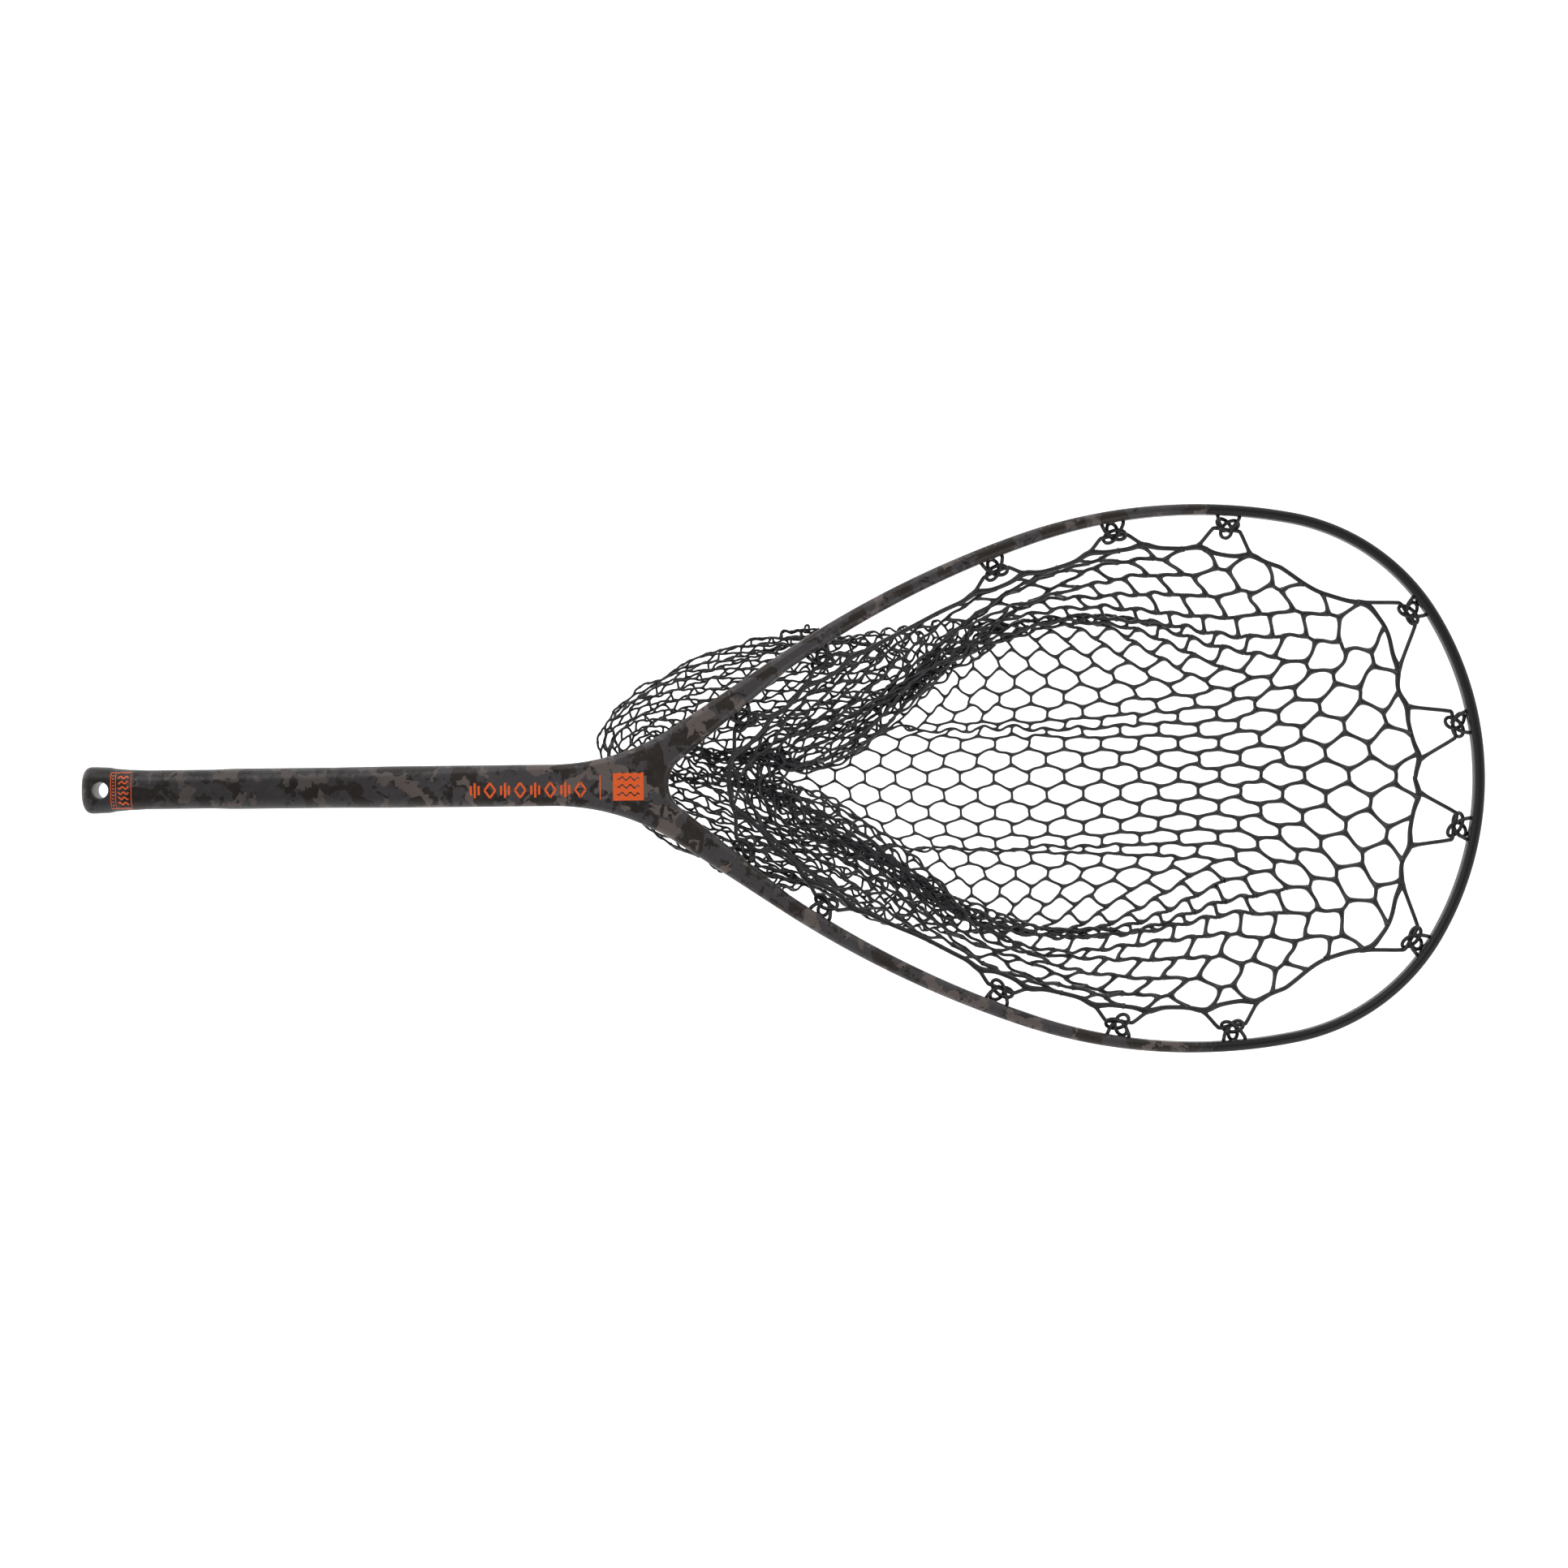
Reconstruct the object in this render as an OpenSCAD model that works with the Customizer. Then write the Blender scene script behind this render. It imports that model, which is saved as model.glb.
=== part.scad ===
// Landing net, mid-length, with a moulded composite frame and a laced rubber bag.
// The frame lies flat: +X runs from the butt to the front of the hoop, +Z is up,
// and z = 0 is the surface under the folded bag.

/* [Overall] */
// Length from the butt to the front of the hoop
overall_length = 940; // [920:5:960]
// Height of the frame's middle plane above the surface
frame_z = 30; // [29:0.5:34]

/* [Hoop outline] */
// Radius of the front of the hoop
front_radius = 210; // [208:1:212]
// Radius of each shoulder
shoulder_radius = 141; // [140:1:142]
// Radius of each side
side_radius = 348.5; // [346:0.5:351]
// Radius of the long curve that runs into each arm
arm_radius = 695; // [690:1:700]
// Half angle of the front arc
front_sweep = 30.9; // [30:0.1:32]
// Angle of each shoulder arc
shoulder_sweep = 48.2; // [47:0.1:49]
// Angle of each side arc
side_sweep = 29.8; // [29:0.1:30.5]
// Angle of each arm arc
arm_sweep = 15.1; // [14.5:0.1:15.5]

/* [Front bow] */
// Width of the bow's tube, seen from above
bow_width = 7; // [6.5:0.1:8]
// Height of the bow's tube
bow_height = 13; // [12:0.1:14]
// Wall of the bow and arm tubes
tube_wall = 1.1; // [1:0.1:1.3]
// Angle on the side arc at which the arm tubes meet the bow
bow_joint = 88.5; // [88:0.1:90]
// Half angle of each ferrule in the bow joints
ferrule_reach = 3.2; // [2:0.1:4]

/* [Arms and yoke] */
// Width of an arm tube where it leaves the yoke
arm_width = 11.6; // [11:0.1:12.5]
// Thickness of the yoke and of the arm tubes there
yoke_thickness = 16; // [15.5:0.1:17]
// Corner radius of the yoke's edges
yoke_edge = 4.5; // [4:0.1:5]
// Radius of the concave edge from the handle to each arm
flare_radius = 150; // [145:1:155]
// Where the flare begins
flare_x = -155; // [-158:1:-152]
// Radius of the crotch
crotch_radius = 20; // [18:0.5:22]
// Centre of the crotch
crotch_x = -57; // [-60:1:-54]

/* [Handle] */
// Where the handle shell meets the yoke
yoke_x = -166; // [-170:1:-160]
// Width of the handle there
handle_width = 28; // [27:0.1:29]
// Width of the pocket in the shell, for the foam core and the tenon
pocket_width = 18; // [16:0.1:19]
// Height of that pocket
pocket_height = 11; // [10:0.1:11.5]
// Radius of the lanyard hole
lanyard_radius = 5.5; // [5:0.1:6]
// Distance from the butt to the middle of the lanyard hole
lanyard_inset = 14; // [13:0.1:15]

/* [Net] */
// Distance from the hoop's middle line to the net's rim cord, at the front
rim_inset_front = 41; // [38:0.5:44]
// The same distance along the sides
rim_inset_side = 23; // [21:0.5:25]
// Diameter of the rim cord and of its lacing tabs
rim_cord = 2.2; // [2:0.1:2.6]
// Height of the rim cord above the surface
rim_z = 24; // [23.5:0.1:25]
// Diameter of the rubber ties
tie_cord = 1.8; // [1.6:0.1:2]
// Height of the folded bag
bag_height = 20; // [18:0.5:21]
// Wall of the folded bag
bag_wall = 1.5; // [1.2:0.1:2]

/* [Hidden] */
glue_gap = 0.2;
half_length = overall_length / 2;
handle_colour = [0.22, 0.2, 0.19];
arm_colour = [0.26, 0.24, 0.23];
bow_colour = [0.16, 0.16, 0.17];
rubber_colour = [0.09, 0.09, 0.1];
foam_colour = [0.8, 0.76, 0.66];
insert_colour = [0.45, 0.45, 0.47];

// Angles, from the front, at which one arc of the hoop gives way to the next
shoulder_start = front_sweep;
side_start = front_sweep + shoulder_sweep;
arm_start = side_start + side_sweep;
arm_end = arm_start + arm_sweep;

// The handle's stations: [distance from the butt, half width, half height, corner radius]
handle_stations = [
    [0, 9, 6, 5], [1, 11.5, 8, 6], [3.5, 13.9, 9.8, 7.5], [8, 15.7, 11, 9],
    [17, 15.4, 11, 9], [25, 14.2, 11, 9], [33, 13.6, 11, 9], [46, 13.1, 11, 9],
    [86, 13.1, 11, 9], [104, 13.6, 11, 9], [162, 13.6, 11, 9], [217, 14, 10.5, 8.5],
    [262, 14, 9.2, 6.5], [half_length + yoke_x, handle_width / 2, yoke_thickness / 2, yoke_edge]
];
handle_rings = 32;
// Above 1, this crowds the handle's rings towards the butt
ring_crowding = 1.8;
solid_butt = 34;
core_end = yoke_x - 24;
tenon_end = yoke_x + 36;

// Above 1, this keeps an arm slim near the bow
arm_swell_power = 1.4;
arm_rings = 26;
flare_steps = 10;
crotch_steps = 8;
spigot_width = 8;
spigot_height = 11;
spigot_length = 44;

// Lacing: the hoop angle of each tie from the front to the yoke, on the left side.
// The last pair sits on the yoke, this far beyond the end of the arm's arc.
tie_angles = [10, 35, 86, 99, 111, 122];
yoke_tie_distance = 42;
yoke_tie_swell = 3.6;
yoke_tab_feet = [1, 0.42];
tie_pairs = len(tie_angles) + 1;
tie_spread = 9.5;
tab_foot_spread = 18;
tab_bar_spread = 9;
tab_bar_distance = 9;
tab_bar_z = rim_z + 2;
// How far the middle of a tie's end sits inside the hoop's wall
tie_entry = 0.5;

// The folded bag beside and under the yoke, from the left side round to the right
tail_outline = [
    [110, 121], [80, 116], [52, 113], [20, 108], [-12, 101], [-45, 91], [-78, 75],
    [-102, 59], [-118, 45], [-126, 32], [-123, 17], [-113, 0], [-102, -25], [-80, -41],
    [-58, -55], [-20, -79], [13, -98], [40, -111], [75, -122], [110, -128]
];
bag_front_end = 110;
bag_front_steps = 24;
// The bag's wall stands this far outside the rim cord
bag_margin = 3;
back_arc_radius = 24;
back_arc_x = -14;

function unit(a) = [cos(a), sin(a)];
function flatten(list) = [for (part = list) for (item = part) item];
function smooth(t) = t * t * (3 - 2 * t);
function at_height(p, z) = [p[0], p[1], z];

// ---- outline of the hoop: four tangent arcs a side, by the angle of the outward normal ----
front_centre = [half_length - bow_width / 2 - front_radius, 0];
shoulder_centre = front_centre + (front_radius - shoulder_radius) * unit(shoulder_start);
side_centre = shoulder_centre + (shoulder_radius - side_radius) * unit(side_start);
arm_centre = side_centre + (side_radius - arm_radius) * unit(arm_start);

function left_hoop_point(a, inset) =
    a <= shoulder_start ? front_centre + (front_radius - inset) * unit(a)
    : a <= side_start ? shoulder_centre + (shoulder_radius - inset) * unit(a)
    : a <= arm_start ? side_centre + (side_radius - inset) * unit(a)
    : arm_centre + (arm_radius - inset) * unit(a);
function hoop_point(a, inset = 0) =
    a >= 0 ? left_hoop_point(a, inset)
    : let (p = left_hoop_point(-a, inset)) [p[0], -p[1]];
function local_radius(a) =
    a <= shoulder_start ? front_radius : a <= side_start ? shoulder_radius
    : a <= arm_start ? side_radius : arm_radius;
// Share of the way along an arm: 0 on the bow and at the joint, 1 at the yoke
function arm_share(a) = max(0, min(1, (abs(a) - bow_joint) / (arm_end - bow_joint)));
function arm_swell(a) = pow(arm_share(a), arm_swell_power);
function hoop_half_width(a) = bow_width / 2 + (arm_width - bow_width) / 2 * arm_swell(a);
function rim_inset(a) =
    rim_inset_front
    + (rim_inset_side - rim_inset_front) * smooth(max(0, min(1, (abs(a) - 60) / 40)));

// ---- sections and lofts ----
// A rectangle with round corners, anticlockwise
function section(half_w, half_h, corner, steps = 4) =
    let (r = min(corner, half_w - 0.1, half_h - 0.1))
    [for (k = [0:3]) for (i = [0:steps])
        let (t = 90 * (k + i / steps),
             sx = (k == 0 || k == 3) ? 1 : -1,
             sy = k < 2 ? 1 : -1)
        [sx * (half_w - r) + r * cos(t), sy * (half_h - r) + r * sin(t)]];

function side_faces(rings, n, start = 0, wrap = false) =
    [for (i = [0:(wrap ? rings - 1 : rings - 2)]) for (j = [0:n - 1])
        let (next = (i + 1) % rings, k = (j + 1) % n)
        [start + i * n + j, start + next * n + j, start + next * n + k, start + i * n + k]];
function reversed(face) = [for (i = [len(face) - 1:-1:0]) face[i]];

// A solid through a list of rings, joined into a loop or closed at each end with the
// faces in cap, or with one face when there are none
module loft(rings, cap = [], wrap = false) {
    n = len(rings[0]);
    last = (len(rings) - 1) * n;
    end = len(cap) > 0 ? cap : [[for (j = [0:n - 1]) j]];
    caps = wrap ? []
        : concat(end, [for (face = end) [for (v = reversed(face)) last + v]]);
    polyhedron(points = flatten(rings), convexity = 8,
        faces = concat(side_faces(len(rings), n, 0, wrap), caps));
}

// A tube through outer rings, hollow along inner rings
module hollow_loft(outer, inner) {
    n = len(outer[0]);
    count = len(outer);
    inside = count * n;
    last = (count - 1) * n;
    walls = concat(side_faces(count, n),
        [for (face = side_faces(count, n, inside)) reversed(face)]);
    ends = [for (j = [0:n - 1]) let (k = (j + 1) % n) [j, k, inside + k, inside + j]];
    far_ends = [for (face = ends) [for (v = reversed(face)) v + last]];
    polyhedron(points = flatten(concat(outer, inner)), convexity = 8,
        faces = concat(walls, ends, far_ends));
}

// A round cord along a list of points, as rings of a loft
function direction(path, i, wrap) =
    let (n = len(path),
         before = wrap ? path[(i + n - 1) % n] : path[max(0, i - 1)],
         after = wrap ? path[(i + 1) % n] : path[min(n - 1, i + 1)],
         d = after - before)
    d / norm(d);
function cord_rings(path, radius, sides, wrap = false) =
    [for (i = [0:len(path) - 1])
        let (t = direction(path, i, wrap),
             across = cross(t, [0, 0, 1]),
             u = across / norm(across),
             v = cross(t, u))
        [for (j = [0:sides - 1])
            let (q = 360 * j / sides) path[i] + radius * (cos(q) * u + sin(q) * v)]];

// A slot-shaped section: a square with a half circle above and below
module slot_section(width, height) {
    union() {
        square([width, height - width], center = true);
        for (side = [-1, 1])
            translate([0, side * (height - width) / 2]) circle(d = width, $fn = 32);
    }
}
module arc_piece(centre, radius, from, to) {
    translate([centre[0], centre[1], frame_z]) rotate([0, 0, from])
        rotate_extrude(angle = to - from, $fn = 180) translate([radius, 0]) children();
}
module mirrored_pair() {
    children();
    mirror([0, 1, 0]) children();
}

// ---- handle ----
function station_value(x, column) =
    let (i = max([for (k = [0:len(handle_stations) - 2])
             handle_stations[k][0] <= x ? k : 0]),
         a = handle_stations[i],
         b = handle_stations[i + 1],
         t = max(0, min(1, (x - a[0]) / (b[0] - a[0]))))
    a[column] + (b[column] - a[column]) * smooth(t);

// Rings sit close together at the butt and open out towards the yoke
function handle_ring(i) =
    let (x = (half_length + yoke_x) * pow(i / (handle_rings - 1), ring_crowding))
    [for (p = section(station_value(x, 1), station_value(x, 2), station_value(x, 3)))
        [x - half_length, p[0], frame_z + p[1]]];

module handle_bar(from, to, gap) {
    translate([from, 0, frame_z]) rotate([90, 0, 90]) linear_extrude(to - from)
        rotate([0, 0, 90]) slot_section(pocket_height - 2 * gap, pocket_width - 2 * gap);
}

module grip_shell() {
    color(handle_colour) difference() {
        loft([for (i = [0:handle_rings - 1]) handle_ring(i)]);
        handle_bar(solid_butt - half_length, yoke_x + 1, 0);
        translate([lanyard_inset - half_length, 0, frame_z])
            cylinder(r = lanyard_radius, h = 2 * frame_z, center = true, $fn = 64);
    }
}
module grip_core() {
    color(foam_colour) handle_bar(solid_butt - half_length + glue_gap, core_end, glue_gap);
}
module yoke_tenon() {
    color(insert_colour) handle_bar(core_end + glue_gap, tenon_end - glue_gap, glue_gap);
}

// ---- yoke ----
flare_centre = [flare_x, handle_width / 2 + flare_radius];
arm_corner = hoop_point(arm_end, -arm_width / 2) - flare_centre;
// The flare ends where it runs straight on to the arm's outer edge
flare_end = atan2(arm_corner[1], arm_corner[0]) - acos(flare_radius / norm(arm_corner));

// Half of the yoke's outline with its edges drawn in by inset, from the handle
// along the outer edge, round the end of the arm and back to the crotch
function yoke_half_outline(inset) =
    let (arm_tip = hoop_point(arm_end),
         n = unit(arm_end),
         crotch = [crotch_x, 0],
         to_crotch = arm_tip - (arm_width / 2 - inset) * n - crotch,
         r = crotch_radius + inset,
         tangent = atan2(to_crotch[1], to_crotch[0]) + acos(r / norm(to_crotch)))
    concat([[yoke_x, handle_width / 2 - inset]],
        [for (i = [0:flare_steps])
            flare_centre + (flare_radius + inset) * unit(-90 + (flare_end + 90) * i / flare_steps)],
        [arm_tip + (arm_width / 2 - inset) * n, arm_tip - (arm_width / 2 - inset) * n],
        [for (i = [0:crotch_steps - 1])
            crotch + r * unit(tangent + (180 - tangent) * i / crotch_steps)]);
function yoke_ring(inset, z) =
    let (half = yoke_half_outline(inset))
    concat([for (p = half) [p[0], -p[1], z]],
        [[crotch_x - crotch_radius - inset, 0, z]],
        [for (p = reversed(half)) [p[0], p[1], z]]);
function yoke_rings() =
    [for (side = [-1, 1]) for (i = [0:4])
        let (t = side < 0 ? 90 - 22.5 * i : 22.5 * i)
        yoke_ring(yoke_edge * (1 - cos(t)),
            frame_z + side * (yoke_thickness / 2 - yoke_edge + yoke_edge * sin(t)))];

// The flat face of a yoke ring as small convex faces: the trunk between its two edges,
// then each branch from the crotch out to the arm
function yoke_cap() =
    let (half = flare_steps + crotch_steps + 4,
         fork = flare_steps,
         elbow = flare_steps + 1,
         crotch_start = flare_steps + 4,
         across = function (i) 2 * half - i)
    concat(
        [for (i = [0:fork - 1]) [i, i + 1, across(i + 1), across(i)]],
        [[fork, half, across(fork)], [fork, elbow, half],
         [elbow, elbow + 1, elbow + 2, crotch_start],
         [across(elbow), across(fork), half],
         [across(crotch_start), across(elbow + 2), across(elbow + 1), across(elbow)]],
        [for (i = [crotch_start:half - 1]) [elbow, i, i + 1]],
        [for (i = [crotch_start:half - 1]) [across(i + 1), across(i), across(elbow)]]);

module spigot(gap) {
    tip = hoop_point(arm_end);
    translate([tip[0], tip[1], frame_z]) rotate([0, 0, arm_end - 90]) rotate([90, 0, 90])
        translate([0, 0, -spigot_length / 2 + gap]) linear_extrude(spigot_length - 2 * gap)
            slot_section(spigot_width - 2 * gap, spigot_height - 2 * gap);
}

module yoke() {
    color(arm_colour) difference() {
        loft(yoke_rings(), yoke_cap());
        handle_bar(yoke_x - 1, tenon_end, 0);
        mirrored_pair() spigot(0);
    }
}

// ---- arms ----
function arm_ring(share, wall) =
    let (a = bow_joint + (arm_end - bow_joint) * share,
         swell = arm_swell(a),
         half_w = hoop_half_width(a),
         half_h = bow_height / 2 + (yoke_thickness - bow_height) / 2 * swell,
         corner = bow_width / 2 + (yoke_edge - bow_width / 2) * swell,
         p = hoop_point(a))
    [for (q = section(half_w - wall, half_h - wall, corner - wall))
        at_height(p + q[0] * unit(a), frame_z + q[1])];
module arm() {
    shares = [for (i = [arm_rings:-1:0]) i / arm_rings];
    hollow_loft([for (s = shares) arm_ring(s, 0)], [for (s = shares) arm_ring(s, tube_wall)]);
}
module left_arm() {
    color(arm_colour) arm();
}
module right_arm() {
    color(arm_colour) mirror([0, 1, 0]) arm();
}
module left_arm_spigot() {
    color(insert_colour) spigot(glue_gap);
}
module right_arm_spigot() {
    color(insert_colour) mirror([0, 1, 0]) spigot(glue_gap);
}

// ---- front bow ----
// Hoop angles of the bow's rings on the left side, arc by arc
bow_half_angles = concat(
    [for (i = [1:12]) shoulder_start * i / 12],
    [for (i = [1:13]) shoulder_start + shoulder_sweep * i / 13],
    [for (i = [1:6]) side_start + (bow_joint - side_start) * i / 6]);
bow_angles = concat(reversed(bow_half_angles), [0], -1 * bow_half_angles);
function bow_ring(a, wall) =
    [for (q = section(bow_width / 2 - wall, bow_height / 2 - wall, bow_width / 2 - wall, 3))
        at_height(hoop_point(a) + q[0] * [cos(a), sin(a)], frame_z + q[1])];
module front_bow() {
    color(bow_colour)
        hollow_loft([for (a = bow_angles) bow_ring(a, 0)],
            [for (a = bow_angles) bow_ring(a, tube_wall)]);
}
module ferrule() {
    arc_piece(side_centre, side_radius, bow_joint - ferrule_reach, bow_joint + ferrule_reach)
        slot_section(bow_width - 2 * tube_wall - 2 * glue_gap,
            bow_height - 2 * tube_wall - 2 * glue_gap);
}
module left_bow_ferrule() {
    color(insert_colour) ferrule();
}
module right_bow_ferrule() {
    color(insert_colour) mirror([0, 1, 0]) ferrule();
}

// ---- net rim and ties ----
// One lacing place: [middle of the hoop, outward normal's angle, distance to its inner face]
function lacing(pair) =
    pair < len(tie_angles)
    ? [hoop_point(tie_angles[pair]), tie_angles[pair], hoop_half_width(tie_angles[pair])]
    : [hoop_point(arm_end) + yoke_tie_distance * unit(arm_end + 90), arm_end,
        arm_width / 2 + yoke_tie_swell];
function lacing_point(place, inward, along, z) =
    at_height(place[0] - inward * unit(place[1]) + along * unit(place[1] + 90), z);

back_centre = [back_arc_x, 0];
rim_end = hoop_point(arm_end, rim_inset_side);
back_tangent = atan2(rim_end[1], rim_end[0] - back_arc_x)
    + acos(back_arc_radius / norm(rim_end - back_centre));
function rim_straight(share) =
    rim_end + (back_centre + back_arc_radius * unit(back_tangent) - rim_end) * share;
rim_steps = 32;
rim_half = concat(
    [for (i = [0:rim_steps])
        let (a = arm_end * i / rim_steps) hoop_point(a, rim_inset(a))],
    [for (i = [1:4]) rim_straight(i / 5)],
    [for (i = [0:4]) back_centre + back_arc_radius * unit(back_tangent
        + (180 - back_tangent) * i / 5)]);
rim_path = concat(
    [for (p = rim_half) at_height(p, rim_z)],
    [[back_arc_x - back_arc_radius, 0, rim_z]],
    [for (i = [len(rim_half) - 1:-1:1]) [rim_half[i][0], -rim_half[i][1], rim_z]]);

// Where a tab's foot meets the rim cord, on one side of its tie
function tab_foot(pair, side) =
    pair == len(tie_angles) ? rim_straight(yoke_tab_feet[side > 0 ? 0 : 1])
    : let (a = tie_angles[pair],
           centre_distance = local_radius(a) - rim_inset(a),
           foot_angle = a + side * tab_foot_spread / centre_distance * 180 / PI)
      hoop_point(foot_angle, rim_inset(foot_angle));
module tab(pair) {
    place = lacing(pair);
    bar = place[2] + tab_bar_distance;
    loft(cord_rings([
        at_height(tab_foot(pair, 1), rim_z),
        lacing_point(place, bar, tab_bar_spread, tab_bar_z),
        lacing_point(place, bar, -tab_bar_spread, tab_bar_z),
        at_height(tab_foot(pair, -1), rim_z)], rim_cord / 2, 8));
}
module net_header() {
    color(rubber_colour) union() {
        loft(cord_rings(rim_path, rim_cord / 2, 8, true), wrap = true);
        for (pair = [0:tie_pairs - 1]) mirrored_pair() tab(pair);
    }
}

// A tie leaves the hoop, loops over the tab's bar, touches the hoop,
// loops over the bar again and goes back into the hoop
module lacing_tie(pair) {
    place = lacing(pair);
    face = place[2] - tie_entry;
    over = tab_bar_z + rim_cord / 2 + tie_cord / 2 + 0.1;
    bar = place[2] + tab_bar_distance;
    loft(cord_rings([
        lacing_point(place, face, tie_spread, frame_z),
        lacing_point(place, bar - 1, tie_spread / 2 + 1.5, over),
        lacing_point(place, bar + 1, tie_spread / 2, over),
        lacing_point(place, place[2] + tie_cord / 2 + 0.3, 0, frame_z),
        lacing_point(place, bar + 1, -tie_spread / 2, over),
        lacing_point(place, bar - 1, -tie_spread / 2 - 1.5, over),
        lacing_point(place, face, -tie_spread, frame_z)], tie_cord / 2, 8));
}
// Ties 1 to 7 run down the left side from the front, and ties 8 to 14 down the right
function tie_name(i) = str("tie_", i < 10 ? "0" : "", i);
module tie(i) {
    color(rubber_colour)
        if (i <= tie_pairs) lacing_tie(i - 1);
        else mirror([0, 1, 0]) lacing_tie(i - 1 - tie_pairs);
}

// ---- folded bag: a shallow open tray over everything that the folded net covers ----
bag_front = [for (i = [-bag_front_steps:bag_front_steps])
    let (a = bag_front_end * i / bag_front_steps) hoop_point(a, rim_inset(a) - bag_margin)];
bag_outline = concat(bag_front, tail_outline);
// The same ring drawn in by a distance along each point's normal
function drawn_in(ring, distance) =
    [for (i = [0:len(ring) - 1])
        let (n = len(ring),
             d = ring[(i + 1) % n] - ring[(i + n - 1) % n],
             t = d / norm(d))
        ring[i] + distance * [-t[1], t[0]]];
module net_bag() {
    color(rubber_colour) difference() {
        linear_extrude(bag_height) polygon(bag_outline);
        translate([0, 0, bag_wall]) linear_extrude(bag_height)
            polygon(drawn_in(bag_outline, bag_wall));
    }
}

grip_shell();
grip_core();
yoke();
yoke_tenon();
left_arm();
right_arm();
left_arm_spigot();
right_arm_spigot();
front_bow();
left_bow_ferrule();
right_bow_ferrule();
net_header();
net_bag();
for (i = [1:2 * tie_pairs]) tie(i);
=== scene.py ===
"""Landing net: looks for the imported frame. Lengths are in millimetres until a mesh is made."""
import math
import random

import bmesh
import bpy
import numpy as np
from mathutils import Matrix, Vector
from mathutils.bvhtree import BVHTree
from mathutils.geometry import delaunay_2d_cdt


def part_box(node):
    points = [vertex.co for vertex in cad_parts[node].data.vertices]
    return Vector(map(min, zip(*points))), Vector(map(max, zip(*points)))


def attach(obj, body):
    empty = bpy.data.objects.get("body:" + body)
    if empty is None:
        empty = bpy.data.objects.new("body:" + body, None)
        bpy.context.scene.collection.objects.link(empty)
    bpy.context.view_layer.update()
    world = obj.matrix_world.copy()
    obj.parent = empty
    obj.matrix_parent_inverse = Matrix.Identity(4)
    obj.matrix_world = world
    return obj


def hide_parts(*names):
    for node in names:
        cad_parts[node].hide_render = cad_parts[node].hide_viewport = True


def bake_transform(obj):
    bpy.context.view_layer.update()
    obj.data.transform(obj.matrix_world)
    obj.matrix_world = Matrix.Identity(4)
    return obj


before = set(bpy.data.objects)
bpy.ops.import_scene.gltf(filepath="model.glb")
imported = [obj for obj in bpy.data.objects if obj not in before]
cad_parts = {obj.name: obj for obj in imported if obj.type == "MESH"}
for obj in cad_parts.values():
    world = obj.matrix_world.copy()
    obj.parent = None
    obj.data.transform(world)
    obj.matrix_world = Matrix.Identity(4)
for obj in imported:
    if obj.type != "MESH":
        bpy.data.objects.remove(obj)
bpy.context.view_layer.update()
MM = 0.001
TINY = 1e-9

# ---------------- driving sizes, from the CAD
BOW_WIDTH = 7.0
BOW_HEIGHT = 13.0
ARM_WIDTH = 11.6
YOKE_THICKNESS = 16.0
YOKE_EDGE = 4.5
HALF_LENGTH = 470.0
FRAME_Z = 1000 * (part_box("front_bow")[0][2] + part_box("front_bow")[1][2]) / 2
HOOP_ARCS = [(210.0, 30.9), (141.0, 48.2), (348.5, 29.8), (695.0, 15.1)]
ARM_END = 124.0
BOW_JOINT = 88.5
RIM_Z = 24.0
RIM_RADIUS = 1.1
TIE_ANGLES = [10, 35, 86, 99, 111, 122]
# Handle: distance from the butt, half width, half height, corner radius
STATIONS = np.array([
    (8, 15.7, 11, 9), (17, 15.4, 11, 9), (25, 14.2, 11, 9), (33, 13.6, 11, 9), (46, 13.1, 11, 9),
    (86, 13.1, 11, 9), (104, 13.6, 11, 9), (162, 13.6, 11, 9), (217, 14, 10.5, 8.5),
    (262, 14, 9.2, 6.5), (304, 14, 8, 4.5)])
# Power of the butt's rounded outline: 2 is an ellipse, and more is squarer
BUTT_SQUARENESS = 2.6
FLARE_CENTRE = (-155.0, 164.0)
FLARE_RADIUS = 150.0
CROTCH_X = -57.0
CROTCH_RADIUS = 20.0
HOLE_X = -456.0
HOLE_RADIUS = 5.5


def unit(angle):
    return np.array([math.cos(math.radians(angle)), math.sin(math.radians(angle))])


def smooth(t):
    t = np.clip(t, 0, 1)
    return t * t * (3 - 2 * t)


def normed(vectors, least=0.0):
    """The vectors along the last axis, at length 1; least keeps a zero vector from dividing by 0."""
    return vectors / (np.linalg.norm(vectors, axis=-1, keepdims=True) + least)


def run_along(path):
    """Distance of each point of a path from its first one."""
    return np.r_[0, np.cumsum(np.linalg.norm(np.diff(path, axis=0), axis=1))]


def touch_angle(away, radius, side):
    """Angle at which a line touches a circle; away runs from the circle's middle to the line's end."""
    turn = math.degrees(math.acos(radius / np.linalg.norm(away)))
    return math.degrees(math.atan2(away[1], away[0])) + side * turn


def fill_inputs(node, values):
    for name, value in values.items():
        node.inputs[name].default_value = value


def ring_faces(first, rings, sides):
    """Quads between neighbouring closed rings of points, from point number first on."""
    faces = []
    for k in range(rings - 1):
        a = first + k * sides
        for j in range(sides):
            nj = (j + 1) % sides
            faces.append((a + j, a + nj, a + sides + nj, a + sides + j))
    return faces


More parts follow.
